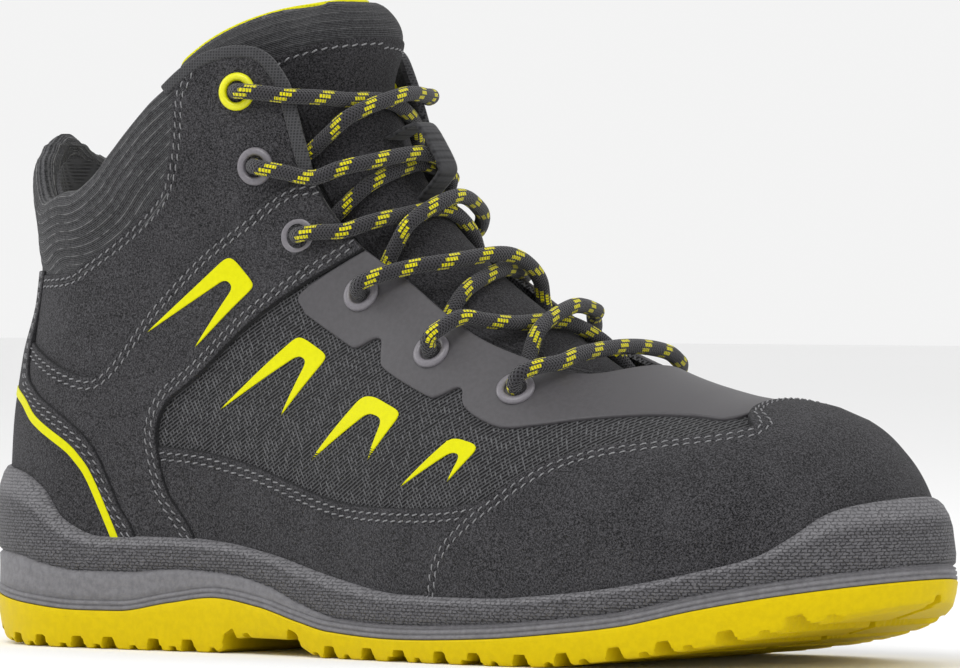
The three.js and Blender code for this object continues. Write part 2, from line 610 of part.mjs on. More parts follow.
// One end of the lace, from the lowest eyelet of a side up to the tucked end.
function laceEnd(start) {
  const points = throughEyelet(EYELETS.length - 1, start);
  let side = start;
  for (let i = EYELETS.length - 2; i >= 0; i -= 1) {
    points.push(...crossing(i, side, start === 'lateral'));
    side = opposite(side);
  }
  return points;
}

function laceRoute() {
  const lowest = LACE_OVER.at(-1);
  const ridge = nearestOnRidge(lowest);
  const [x, z] = besideRidge(ridge, 0, -1.6);
  const bar = ['medial', 'lateral'].map((side) => laceAt(lowest, [ridge.x, ridge.y], 0.45, side, -3.2));
  bar.splice(1, 0, new THREE.Vector3(x, centreAt(x), z));
  return [...laceEnd('medial').reverse(), ...bar, ...laceEnd('lateral')];
}

// Curve whose even steps follow its points, so that a bend keeps its own close points.
class PointCurve extends THREE.CatmullRomCurve3 {
  getPointAt(share, target) {
    return this.getPoint(share, target);
  }

  getTangentAt(share, target) {
    return this.getTangent(share, target);
  }
}

function lace() {
  const points = laceRoute();
  const section = new THREE.Shape(Array.from({ length: 8 }, (_, k) => new THREE.Vector2(
    LACE_RADIUS * Math.cos((Math.PI * k) / 4), LACE_RADIUS * Math.sin((Math.PI * k) / 4))));
  return toSolid(new THREE.ExtrudeGeometry(section,
    { steps: points.length - 1, bevelEnabled: false, extrudePath: new PointCurve(points) }));
}

// Webbing loop on the tongue, bridging the second crossing from the top.
function laceKeeper() {
  const centre = crossingCentre(1);
  const arch = [[-9.5, 7.4], [-7.5, -4.4], [7.5, -4.4], [9.5, 7.4], [8.2, 7.4], [6.5, -3.3],
    [-6.5, -3.3], [-8.2, 7.4]];
  const outline = arch.map(([shift, depth]) => besideRidge(centre, shift, depth));
  return sidePrism(outline, -KEEPER_HALF_WIDTH, KEEPER_HALF_WIDTH);
}

// ---- footbed --------------------------------------------------------------------------------------
const insoleBoard = () => foot(BOARD_DEPTH).intersect(slab(raised(UPPER_BASE, 0), raised(UPPER_BASE, 2.4)));
const footbed = () => foot(FOOTBED_DEPTH).intersect(slab(raised(UPPER_BASE, 2.7), raised(UPPER_BASE, 7.7)));

// ---- assembly -------------------------------------------------------------------------------------
const boot = new THREE.Group();
boot.add(
  toMesh('outsole', outsole(), YELLOW_RUBBER),
  toMesh('midsole', midsole(), FOAM_GREY),
  toMesh('shank', shankShape(0), SHANK_STEEL),
  toMesh('insole_board', insoleBoard(), BOARD),
  toMesh('footbed', footbed(), LINING_CLOTH),
  toMesh('lining', lining(), LINING_CLOTH),
  toMesh('toe_cap', toeCap(), STIFF_PLASTIC),
  toMesh('heel_counter', heelCounter(), STIFF_PLASTIC),
  toMesh('collar_padding', collarPadding(), KNIT_CLOTH),
  toMesh('heel_stripe', heelStripe(), YELLOW_FILM),
  toMesh('eyestay_overlay', eyestayOverlay(), OVERLAY),
  toMesh('tongue', tongue(false), SUEDE),
  toMesh('tongue_lining', tongueLining(false), YELLOW_RUBBER),
  toMesh('tongue_top', tongue(true), KNIT_CLOTH),
  toMesh('tongue_top_lining', tongueLining(true), YELLOW_RUBBER),
  toMesh('lace_keeper', laceKeeper(), LACE_CORD),
  toMesh('lace', lace(), LACE_CORD),
);
outerPanels().forEach(([name, solid, material]) => boot.add(toMesh(name, solid, material)));
Object.keys(SIDES).forEach((side) => {
  EYELETS.forEach((eyelet, i) => {
    const seat = (i >= EYELETS.length - OVERLAY_EYELETS ? -FILM[0] : 0) + 3 * GAP;
    const ring = eyeletFrame(eyelet, side, eyeletRing(seat));
    boot.add(toMesh(`eyelet_${side}_${i + 1}`, ring, i === 0 ? YELLOW_RUBBER : GREY_PLASTIC));
  });
  CHEVRONS.forEach((outline, i) => {
    boot.add(toMesh(`chevron_${side}_${i + 1}`, chevron(outline, side), YELLOW_FILM));
  });
});

// Origin at the middle of the box on the ground: the shape above has its axis through the heel.
boot.position.set(-ORIGIN.x, -ORIGIN.y, 0);

export default boot;
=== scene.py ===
import math

import bmesh
import bpy
import numpy as np
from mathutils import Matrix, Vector


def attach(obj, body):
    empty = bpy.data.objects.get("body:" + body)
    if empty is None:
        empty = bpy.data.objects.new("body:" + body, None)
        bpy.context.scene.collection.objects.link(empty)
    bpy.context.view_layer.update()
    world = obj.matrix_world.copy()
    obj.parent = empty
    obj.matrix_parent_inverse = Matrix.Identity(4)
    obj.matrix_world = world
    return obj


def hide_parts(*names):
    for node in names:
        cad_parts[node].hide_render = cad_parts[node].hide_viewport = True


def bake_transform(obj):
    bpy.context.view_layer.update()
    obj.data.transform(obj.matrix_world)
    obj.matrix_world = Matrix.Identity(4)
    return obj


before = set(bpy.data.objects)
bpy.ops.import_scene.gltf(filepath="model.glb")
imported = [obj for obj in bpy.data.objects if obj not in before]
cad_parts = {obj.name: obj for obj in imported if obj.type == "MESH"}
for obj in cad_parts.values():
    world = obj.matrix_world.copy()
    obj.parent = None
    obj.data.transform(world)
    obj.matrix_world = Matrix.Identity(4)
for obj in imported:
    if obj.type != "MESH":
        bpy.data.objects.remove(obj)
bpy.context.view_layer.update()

# Looks of a right ankle-high laced work and hiking boot. Sizes are in millimetres until a mesh is made.
# The upper's panels are skins cut from one smooth foot shape, the same one that the CAD uses.

# ---- driving dimensions, as in the CAD
ORIGIN = np.array([0.5, 1.6, 0.0])                    # the frame's zero in this script's places
SOLE_HEEL, SOLE_TOE = -152.0, 153.0                   # ends of the sole
HEEL_ROUND, SOLE_HEEL_ROUND = 44.0, 46.0              # lengths over which the heel rounds off
TOE_ROUND, SOLE_TOE_ROUND = 70.5, {-1: 72.0, 1: 78.0} # and the toe; sides are -1 lateral, 1 medial
HEEL_POWER, TOE_POWER, RIDGE_POWER = 2.1, 2.8, 2.1    # how full each rounding is
SHAFT_WIDTH = {-1: 36.5, 1: 39.0}                     # half breadth of the shaft
LOW_LEVEL, LEVEL_RISE = 8, 182                        # height of the lowest loop, rise to the highest
TOE_LEVEL, TOE_RISE = 0.2, 56                         # loops below this level end at the toe
LEVELS, HALVINGS = 281, 24                            # loops with known ends, steps to find an end
LOOP_MARGIN = 3                                       # the loops' ends start this far outside
MEDIAL_SHIFT = 5.0     # how far forward of the lateral side's throat the medial one is
TOE_SWING = 9          # how far the middle line bends to the medial side at the toe
TONGUE_DEPTH, TONGUE_THICK = 8.4, 6.0  # outer face below the foot shape, and thickness
TONGUE_SWELL, TONGUE_DIP = 6.4, 1.2    # out at the free top, further in at its sides
HEEL_FALL = 1.3        # the heel panel is this much lower at its top
LACE_RADIUS = 2.1
STRANDS, STRAND_PITCH, TICK_PITCH = 9.0, 0.9, 10.5    # round the lace, and along it
ROUND_END = 0.07       # turn at a loop's end over which its two sides round into each other
STITCH = {"length": 2.0, "pitch": 2.9, "radius": 0.25}
ROWS = (1.7, 3.5)      # stitch rows, distances from a panel's edge
SHORTEST_ROW = 8       # a row shorter than this has no stitches
RIB_PITCH = 2.4        # ribs of the knitted collar
TAB_SHOULDER = 6.0     # drop of the topline beside the pull-on tab at the heel
TAB_DROP = 2           # drop of the topline on the tab itself
HIDDEN_BELOW_RIM = 6   # the outer panels end this far down behind the sole's rim
TOE_LIFT, TOE_INSET = 1.3, 3.2     # toe leather: higher on top, further in at the front
WALL_LEAN = 2.2        # how far the midsole's rim leans in at the toe
LINING_DEPTH, TONGUE_LINING_DEPTH = 5.4, 5.0           # below the foot shape, below the tongue's face
FOOTBED_DEPTH, FOOTBED_TIP, FOOTBED_SHARE = 8.6, 139.6, 0.98
COLLAR_PUFF, COLLAR_DEPTH, COLLAR_EDGE = 2.4, 6.2, 5.0 # out, in, and rounding at the edges
CAMERA_PLACE, CAMERA_AIM, LENS = (1.4205, -1.8100, 0.110), (0.0045, 0.0024, 0.0866), 318.3    # m, m, mm
FLOOR, SKY_STRENGTH = 6, 0.9       # half size of the studio floor in m, and brightness of the surroundings
FILM = {"thickness": 0.35, "above": 0.3, "radius": 0.12, "stripe_width": 2.4}

# Side-view lines as (x, z) points. The tables of the sole and widths give a value at each x.
BACK = [(10, -148), (35, -147.5), (60, -146), (80, -143), (95, -140.5), (110, -139.5), (125, -141),
    (140, -142.5), (190, -143)]
FRONT = [(10, 150), (35, 149), (50, 148), (80, 148)]
RIDGE = [(170, 63), (140, 66.5), (110, 69.3), (88, 71), (62, 79.3), (35, 96), (10, 114), (-8, 132),
    (-18, 150), (-25, 170), (-30, 205)]
TOPLINE = [(-160, 144), (-143, 144), (-137, 141), (-130, 134), (-121, 128), (-111, 125.5), (-102, 129.5),
    (-95, 136), (-87, 143.5), (-75, 154), (-67, 160), (-60, 163.5), (-51, 165), (-44, 163), (-38.5, 156),
    (-36, 150)]
THROAT = [(-33, 141), (-28, 127), (-22, 118), (-12.5, 109.5), (5, 99.5), (15, 93.5), (30, 85.5),
    (44, 80), (55, 76.5), (62, 76.5), (67, 80)]
LINED_THROAT = [(-58, 150), (-54, 132), (-42, 108), (-20, 90), (2, 77), (24, 69), (44, 63), (62, 60),
    (76, 66), (78, 80)]
KNIT_SEAM = [(-160, 102.5), (-125, 102.5), (-112, 103.3), (-106, 106), (-92, 114), (-80, 122.5),
    (-75, 129), (-72, 140), (-71, 152), (-68, 158), (-62, 175)]
HEEL_SEAM = [(-126, 106), (-127.5, 92), (-127.3, 76), (-121, 70), (-111, 65), (-104, 61), (-98.5, 57),
    (-94, 51.5), (-87, 39), (-81.5, 31), (-72, 5)]
COLLAR_SEAM = [(-16, 129), (-28, 128), (-36, 126.5), (-49, 118), (-64, 108), (-80, 93.5), (-90, 81.5),
    (-96, 76), (-101, 74.5), (-110, 76.5), (-122, 81), (-131, 85)]
BAND_SEAM = [(-4, 115), (-13, 109), (-30, 99), (-45, 88.5), (-61, 75), (-71, 68), (-74.5, 61),
    (-73.5, 53), (-70, 43), (-61, 32), (-46, 5)]
LOWER_SEAM = [(-80, 56), (-61, 55), (-54, 54), (-39, 51), (-25, 47), (-13, 43.5), (2, 41.2), (28, 41),
    (45, 43), (56, 47)]
TOE_SEAM = [(24, 5), (27.5, 18), (29, 26), (33.5, 33), (41.5, 39.5), (51, 45.5), (58, 50), (66, 54),
    (77, 57), (93, 59), (107, 60.4), (113, 61.5)]
TOE_TAB = [(113, 61.5), (110.5, 63.2), (107, 65.5), (104, 68.5), (102, 73)]
OVERLAY_EDGE = [(-12.5, 109), (-29, 98), (-27.5, 93), (-24, 90.5), (-10, 83.5), (-7, 83), (-2, 85.3),
    (0.5, 85), (2.2, 80), (5, 77), (21, 70.5), (25, 70.3), (29.5, 72.5), (31.5, 72), (33.5, 68),
    (39.5, 64.5), (47.5, 62.2), (57, 63), (68, 64.5), (82, 65.6), (94, 65.4), (103, 64.6), (107, 66)]
STRIPE_TOP = [(-160, 69.5), (-140, 69), (-129, 66.5), (-121, 61.2), (-108, 54.8), (-103, 51),
    (-99, 46.5), (-94, 38), (-88, 27)]
TONGUE_EDGE = [(86, 58), (60, 63), (40, 67), (20, 75), (0, 85), (-18, 96), (-33, 110), (-43, 126),
    (-56, 141), (-68, 151), (-80, 158.5), (-74, 164.5), (-62, 170.5), (-46, 175.5), (-30, 178),
    (-10, 178), (40, 178), (130, 110)]
TONGUE_FACE = [(90, 62), (62, 71), (42, 77), (20, 85), (2, 94), (-14, 105), (-27, 119), (-36, 134),
    (-44, 150), (-50, 159), (-44, 163), (-34, 166), (-24, 168), (-10, 169), (40, 169), (130, 110)]
TREAD = [(-152, 7), (-138, 1.5), (-122, 0), (-54, 0), (-42, 4.5), (-26, 4.5), (-12, 0), (62, 0),
    (90, 2.6), (120, 7.5), (153, 17)]
OUTSOLE_TOP = [(-152, 15), (-137, 13.5), (-120, 11.8), (-100, 10.5), (-86, 10.6), (-68, 13.2), (-52, 15),
    (-35, 13), (-20, 9.5), (-8, 7.2), (18, 6), (48, 7), (73, 9.1), (92, 11.4), (113, 16), (131, 19.6),
    (153, 23.5)]
WEDGE_TOP = [(-152, 26), (-125, 24.9), (-115, 23), (-100, 21.2), (-82, 21.3), (-65, 22.3), (-47, 21.4),
    (-31, 18.3), (-20, 14.3), (-4, 10.5), (19, 9.4), (48, 10.6), (73, 12.6), (92, 14.9), (113, 19.5),
    (131, 23.1), (153, 27)]
RIM_TOP = [(-152, 50), (-128, 48), (-116, 43.5), (-107, 35.5), (-93, 31.3), (-68, 31.5), (-50, 30.5),
    (-31, 27.6), (-8, 22.4), (19, 18.4), (48, 18.2), (73, 20), (97, 23.2), (113, 26.5), (127, 31),
    (136, 36.5), (144, 42), (153, 45)]
UPPER_BASE = [(-152, 25), (-110, 24.5), (-60, 22), (-20, 17), (20, 12), (60, 11.3), (90, 13.8),
    (120, 20.5), (153, 29)]
WIDTH = {-1: [(-152, 34), (-110, 36), (-60, 37), (-20, 41), (20, 47), (55, 51), (90, 52), (153, 50)],
         1: [(-152, 34), (-110, 35.5), (-60, 34), (-20, 35), (20, 41), (60, 47), (90, 46), (120, 41),
             (153, 34)]}
SOLE_WIDTH = {-1: [(-152, 39), (-110, 40.5), (-60, 40), (-20, 43.5), (20, 49.5), (55, 54),
                   (90, 54.5), (153, 53)],
              1: [(-152, 39), (-110, 39.5), (-60, 37), (-20, 37.5), (20, 43.5), (60, 50), (90, 49.5),
                  (120, 43.5), (153, 34)]}
WAIST = [(0, 1), (55, 1), (85, 0.93), (110, 0.86), (130, 0.92), (150, 0.95), (220, 0.93)]
RIDGE_ROUND = [(0, 30), (0.3, 38), (0.5, 60), (0.62, 66), (0.75, 58), (1, 50)]
GROOVES = [-139, -126, -115, -101, -90, -74, -62, -47, -22, -8, 7, 19, 34, 46, 61, 74, 90, 104, 120, 135]

EYELETS = [(-51, 152.3), (-45, 132), (-32, 113), (-10, 97.3), (18.3, 82), (46, 72)]
LACE_OVER = [(-36.5, 150.5), (-28.5, 128.5), (-18, 114), (0, 102), (24, 89), (53, 76.7)]
LACE_UNDER = [None, (-31.5, 136.5), (-23.5, 120), (-8, 107), (15, 93.5), (43, 80.5)]
CHEVRONS = [
    [(-54, 107), (-51.5, 107), (-44.5, 100.5), (-44, 98.8), (-62.5, 82.4), (-50.5, 99),
     (-53.5, 101.3), (-80, 86.4)],
    [(-28.5, 85.8), (-26, 85.6), (-18, 81.6), (-17.2, 80), (-30, 64.4), (-23.5, 79.5), (-26.8, 81),
     (-53, 65.8)],
    [(-1.2, 70.2), (3.2, 70.2), (13, 66.6), (13.4, 64.8), (4.5, 53.2), (8, 64.4), (2.3, 66),
     (-17.5, 52.6)],
    [(32, 59.3), (34.8, 59.5), (41, 58), (41.2, 56.2), (33.5, 47.8), (36.8, 55.2), (33.6, 56),
     (17, 46.2)]]
SIDE_NAMES = {-1: "lateral", 1: "medial"}
# radius from the hole's middle, and height above the seat, round an eyelet's section
EYELET_PROFILE = [(3.0, -2.6), (3.0, 0.35), (3.12, 0.72), (3.45, 0.98), (3.9, 1.08), (4.5, 1.0),
    (4.95, 0.76), (5.2, 0.4), (5.2, -0.1), (3.8, -0.1), (3.8, -2.6)]
# the keeper's arch over the ridge (along it, below it) and its section (across, out)
KEEPER_ARCH = [(-10.2, 7.6), (-9.6, 5.0), (-8.4, -1.6), (-6.6, -4.2), (0, -4.7), (6.6, -4.2), (8.4, -1.6),
    (9.6, 5.0), (10.2, 7.6)]
KEEPER_SECTION = [(-3.9, 0.0), (-3.7, 0.5), (-3.0, 0.62), (0, 0.7), (3.0, 0.62), (3.7, 0.5), (3.9, 0.0),
    (3.7, -0.5), (3.0, -0.55), (0, -0.55), (-3.0, -0.55), (-3.7, -0.5)]

# Height of each panel's outer face above the foot shape, and its thickness.
PANELS = {"mesh_quarter": (0.0, 1.4), "eyestay_overlay": (0.9, 0.9), "collar_panel": (0.7, 1.6),
          "lower_quarter": (0.8, 1.6), "side_band": (1.6, 1.8), "toe_panel": (1.6, 1.8),
          "heel_panel": (2.4, 2.2)}


# ---- curves
def smooth(t):
    t = np.clip(t, 0, 1)
    return t * t * (3 - 2 * t)


def unit(vectors):
    return vectors / np.maximum(np.linalg.norm(vectors, axis=-1, keepdims=True), 1e-9)


def run_along(line):
    """Distance from the start of a line to each of its points."""
    return np.concatenate([[0], np.cumsum(np.linalg.norm(np.diff(line, axis=0), axis=1))])


def read_at(places, run, columns):
    """Columns of values given along a run, read at other places along it."""
    return np.stack([np.interp(places, run, column) for column in np.transpose(columns)], -1)


def left_of(line):
    """Unit directions across a side-view line, to its left."""
    step = np.gradient(line, axis=0)
    return unit(np.stack([-step[:, 1], step[:, 0]], -1))


def through(points):
    """Monotone cubic through points, as a function of arrays."""
    x, y = np.array(points, float).T
    gap = np.diff(x)
    rise = np.diff(y) / gap
    slope = np.zeros(len(x))
    slope[0], slope[-1] = rise[0], rise[-1]
    for i in range(1, len(x) - 1):
        if rise[i - 1] * rise[i] > 0:
            before, after = 2 * gap[i] + gap[i - 1], gap[i] + 2 * gap[i - 1]
            slope[i] = (before + after) / (before / rise[i - 1] + after / rise[i])

    def at(value):
        v = np.clip(value, x[0], x[-1])
        i = np.clip(np.searchsorted(x, v, side="right") - 1, 0, len(gap) - 1)
        h = gap[i]
        t = (v - x[i]) / h
        return ((1 + 2 * t) * (1 - t) ** 2 * y[i] + t * (1 - t) ** 2 * h * slope[i]
                + t * t * (3 - 2 * t) * y[i + 1] + t * t * (t - 1) * h * slope[i + 1])
    return at


def cubic(start, end, leaving, arriving, share):
    """Cubic from start to end with these slopes per whole stretch, at a share of the way."""
    return ((2 * start - 2 * end + leaving + arriving) * share ** 3
            + (3 * end - 3 * start - 2 * leaving - arriving) * share ** 2 + leaving * share + start)


def catmull(points, per=8):
    """Even Catmull-Rom curve through points, per steps to each stretch."""
    p = np.array(points, float)
    t = np.linspace(0, len(p) - 1, (len(p) - 1) * per + 1)
    i = np.minimum(t.astype(int), len(p) - 2)
    before, after = p[np.maximum(i - 1, 0)], p[np.minimum(i + 2, len(p) - 1)]
    return cubic(p[i], p[i + 1], (p[i + 1] - before) / 2, (after - p[i]) / 2, (t - i)[:, None])


def spaced(line, count):
    """The line at count + 1 points of even spacing."""
    run = run_along(line)
    return read_at(np.linspace(0, run[-1], count + 1), run, line)


back_at, front_at = through(BACK), through(FRONT)
waist_at, ridge_round_at = through(WAIST), through(RIDGE_ROUND)
width_at = {side: through(WIDTH[side]) for side in WIDTH}
rim_at, tread_at = through(RIM_TOP), through(TREAD)
outsole_top_at, wedge_at, base_at = through(OUTSOLE_TOP), through(WEDGE_TOP), through(UPPER_BASE)
ridge_line = spaced(catmull(RIDGE, 40), 90)


def centre_at(x):
    return TOE_SWING * smooth((x - 5) / 145)


def nearest(x, z, line):
    """Distance from points to a line in side view, the nearest point, and how far along it is."""
    best = np.full(np.shape(x), 1e9)
    qx, qz, along, turn = (np.zeros(np.shape(x)) for _ in range(4))
    for i, (a, b) in enumerate(zip(line[:-1], line[1:])):
        dx, dz = b[0] - a[0], b[1] - a[1]
        t = np.clip(((x - a[0]) * dx + (z - a[1]) * dz) / max(dx * dx + dz * dz, 1e-12), 0, 1)
        px, pz = a[0] + t * dx, a[1] + t * dz
        d = np.hypot(x - px, z - pz)
        near = d < best
        best = np.where(near, d, best)
        qx, qz = np.where(near, px, qx), np.where(near, pz, qz)
        along = np.where(near, (i + t) / (len(line) - 1), along)
        turn = np.where(near, np.where(dx * (z - a[1]) - dz * (x - a[0]) >= 0, 1, -1), turn)
    return best, qx, qz, along, turn


MAP_X, MAP_Z = np.arange(-175.0, 186.0), np.arange(-10.0, 236.0)
_mx, _mz = np.meshgrid(MAP_X, MAP_Z, indexing="ij")
_best, _, _, _along, _turn = nearest(_mx, _mz, ridge_line)
RIDGE_MAP = np.stack([_best * _turn, _along], -1)


def ridge_at(x, z):
    """Distance below the ridge line and share of the way along it, read from a 1 mm map."""
    u = np.clip(x - MAP_X[0], 0, len(MAP_X) - 1.001)
    v = np.clip(z - MAP_Z[0], 0, len(MAP_Z) - 1.001)
    i, j = u.astype(int), v.astype(int)
    fu, fv = (u - i)[..., None], (v - j)[..., None]
    m = RIDGE_MAP
    value = ((m[i, j] * (1 - fu) + m[i + 1, j] * fu) * (1 - fv)
             + (m[i, j + 1] * (1 - fu) + m[i + 1, j + 1] * fu) * fv)
    return value[..., 0], value[..., 1]


# ---- foot shape
def fullness(x, z, depth):
    """1 in the middle of the shape, falling to 0 where the heel, toe or ridge rounds off."""
    below, along = ridge_at(x, z)
    heel = (x - back_at(z) - depth) / (HEEL_ROUND - depth)
    toe = (front_at(z) - x - depth) / (TOE_ROUND - depth)
    ridge = (below - depth) / (ridge_round_at(along) - depth)
    ends = (heel, HEEL_POWER), (toe, TOE_POWER), (ridge, RIDGE_POWER)
    return 1 - sum(np.maximum(0, 1 - share) ** power for share, power in ends)


def half_breadth(x, z, side, depth):
    to_shaft = smooth((z - 45) / 60) * smooth((40 - x) / 80)
    sole = np.where(side < 0, width_at[-1](x), width_at[1](x))
    shaft = np.where(side < 0, SHAFT_WIDTH[-1], SHAFT_WIDTH[1])
    plain = sole * (1 - to_shaft) + shaft * to_shaft
    waist = 1 + (waist_at(z) - 1) * smooth((60 - x) / 90)
    return (plain * waist - depth) * np.sqrt(np.maximum(0, fullness(x, z, depth)))


def surface_point(x, z, side, depth=0.0):
    x, z = np.asarray(x, float), np.asarray(z, float)
    return np.stack([x, centre_at(x) + side * half_breadth(x, z, side, depth), z], -1)


def surface_normal(x, z, side):
    step = 1.5
    along_x = surface_point(x + step, z, side) - surface_point(x - step, z, side)
    along_z = surface_point(x, z + step, side) - surface_point(x, z - step, side)
    return unit(np.cross(along_x, along_z) * -side)


def loop_ends(level):
    """Side-view ends of the loops at these levels, just outside the shape."""
    height = LOW_LEVEL + LEVEL_RISE * level
    back = np.stack([back_at(height) - LOOP_MARGIN, height], -1)
    share = 0.06 + 0.89 * np.clip((level - TOE_LEVEL) / (1 - TOE_LEVEL), 0, 1)
    fine = catmull(RIDGE, 40)
    run = run_along(fine)
    point = read_at(share * run[-1], run, fine)
    tangent = unit(read_at(share * run[-1] + 1, run, fine) - point)
    ridge = point + LOOP_MARGIN * np.stack([tangent[:, 1], -tangent[:, 0]], -1)
    front = np.full_like(level, front_at(LOW_LEVEL) + LOOP_MARGIN)
    toe = np.stack([front, LOW_LEVEL + TOE_RISE * level / TOE_LEVEL], -1)
    return back, np.where((level < TOE_LEVEL)[:, None], toe, ridge)


class Layer:
    """The foot shape moved inwards. A point is named by its turn round a loop (0 at the heel, minus on
    the lateral side, half a turn at the toe or ridge) and by the loop's level."""

    def __init__(self, depth):
        self.depth = depth if callable(depth) else (lambda x, z: np.full(np.shape(x), float(depth)))
        self.levels = np.linspace(0, 1, LEVELS)
        back, front = loop_ends(self.levels)
        self.heel, self.toe = self.closing(back, front), self.closing(front, back)

    def closing(self, start, end):
        out, inner = np.zeros(len(start)), np.full(len(start), 0.5)
        for _ in range(HALVINGS):
            t = (out + inner) / 2
            p = start + (end - start) * t[:, None]
            filled = fullness(*p.T, self.depth(*p.T)) > 0
            inner, out = np.where(filled, t, inner), np.where(filled, out, t)
        return start + (end - start) * inner[:, None]

    def side_view(self, turn, level):
        share = (1 - np.cos(turn)) / 2
        heel, toe = (read_at(level, self.levels, end).T for end in (self.heel, self.toe))
        return heel + (toe - heel) * share

    def point(self, turn, level):
        turn = (turn + math.pi) % (2 * math.pi) - math.pi
        side = np.where(turn < 0, -1.0, 1.0)
        heelward = np.abs(turn) < math.pi / 2
        off_end = np.where(heelward, np.abs(turn), math.pi - np.abs(turn))
        held = np.maximum(off_end, ROUND_END)
        x, z = self.side_view(np.where(heelward, held, math.pi - held), level)
        breadth = half_breadth(x, z, side, self.depth(x, z)) * np.sin(off_end) / np.sin(held)
        x, z = self.side_view(turn, level)
        return np.stack([x, centre_at(x) + side * breadth, z], -1)

    def normal(self, turn, level):
        step = 0.006
        round_ = self.point(turn + step, level) - self.point(turn - step, level)
        up = self.point(turn, np.minimum(level + step, 1)) - self.point(turn, np.maximum(level - step, 0))
        return unit(np.cross(up, round_))


# ---- cutting skins from a layer
def is_inside(x, z, polygon):
    inside = np.zeros(np.shape(x), bool)
    for (ax, az), (bx, bz) in zip(polygon, np.roll(polygon, -1, 0)):
        if az != bz:
            crossing = ((az > z) != (bz > z)) & (x < (bx - ax) * (z - az) / (bz - az) + ax)
            inside ^= crossing
    return inside


def depth_inside(points, normals, polygon):
    """Signed distance to a side-view outline, positive inside, measured along the surface."""
    x, z = points[:, 0], points[:, 2]
    closed = np.vstack([polygon, polygon[:1]])
    d, qx, qz, _, _ = nearest(x, z, closed)
    return np.where(is_inside(x, z, np.array(polygon)), 1, -1) * stretched(d, x - qx, z - qz, normals)


def stretched(distance, dx, dz, normals):
    """A side-view distance turned into one along the surface, which may slope away."""
    lean = (dx * normals[:, 0] + dz * normals[:, 2]) / np.maximum(distance, 1e-6)
    return distance / np.sqrt(np.clip(1 - lean ** 2, 0.12, 1))


def cut(data, tris, column, level):
    """Splits triangles along data[:, column] == level; the new points take their values in between."""
    values = data[:, column]
    high = values > level
    count = high[tris].sum(1)
    mixed = (count == 1) | (count == 2)
    t, few = tris[mixed], count[mixed] == 1
    first = np.where(few[:, None], high[t], ~high[t]).argmax(1)
    t = t[np.arange(len(t))[:, None], (first[:, None] + np.arange(3)) % 3]
    pairs = np.sort(np.concatenate([t[:, [0, 1]], t[:, [0, 2]]]), 1).astype(np.int64)
    keys, index = np.unique(pairs[:, 0] * len(data) + pairs[:, 1], return_inverse=True)
    a, b = keys // len(data), keys % len(data)
    w = ((level - values[a]) / (values[b] - values[a]))[:, None]
    fresh = data[a] * (1 - w) + data[b] * w
    fresh[:, column] = level
    ab, ac = len(data) + index[:len(t)], len(data) + index[len(t):]
    parts = [tris[~mixed], np.stack([t[:, 0], ab, ac], -1), np.stack([ab, t[:, 1], t[:, 2]], -1),
             np.stack([ab, t[:, 2], ac], -1)]
    return np.concatenate([data, fresh]), np.concatenate(parts)


def compact(data, tris):
    used, index = np.unique(tris, return_inverse=True)
    return data[used], index.reshape(-1, 3)


def loop_grid(around, up, side):
    """Turns, levels and outward triangles of a grid over one side, or over both with side 0."""
    low, high = {-1: (-math.pi, 0), 1: (0, math.pi), 0: (-math.pi, math.pi)}[side]
    turn, level = np.meshgrid(np.linspace(low, high, around + 1), np.linspace(0, 1, up + 1), indexing="ij")
    i, j = np.meshgrid(np.arange(around), np.arange(up), indexing="ij")
    a = (i * (up + 1) + j).ravel()
    b, c, d = a + up + 1, a + up + 2, a + 1
    tris = np.concatenate([np.stack([a, c, b], -1), np.stack([a, d, c], -1)])
    return np.stack([turn.ravel(), level.ravel()], -1), tris


def on_side(points, side):
    """Side-view points of the outer side's throat, moved to where the given side has it."""
    p = np.array(points, float)
    if side > 0:
        p[:, 0] += MEDIAL_SHIFT * smooth((p[:, 1] - 80) / 26) * smooth((p[:, 0] + 110) / 50)
    return p


MOUTH = np.vstack([catmull(TOPLINE + THROAT[:1], 6)[:-1], catmull(THROAT, 6), [(67, 240), (-160, 240)]])


def mouth_distance(points, normals, turn):
    """Distance outside the opening of the upper, whose edge differs a little between the sides."""
    out = [-depth_inside(points, normals, on_side(MOUTH, side)) for side in (-1, 1)]
    beside_tab = TAB_SHOULDER * smooth((np.abs(points[:, 1]) - 1) / 11) + TAB_DROP
    return np.where(turn < 0, out[0], out[1]) - beside_tab * smooth((-112 - points[:, 0]) / 18)


def below_rim(x):
    """Lower end of the outer panels, hidden behind the sole's rim."""
    return rim_at(x) - HIDDEN_BELOW_RIM


LAYERS = {}


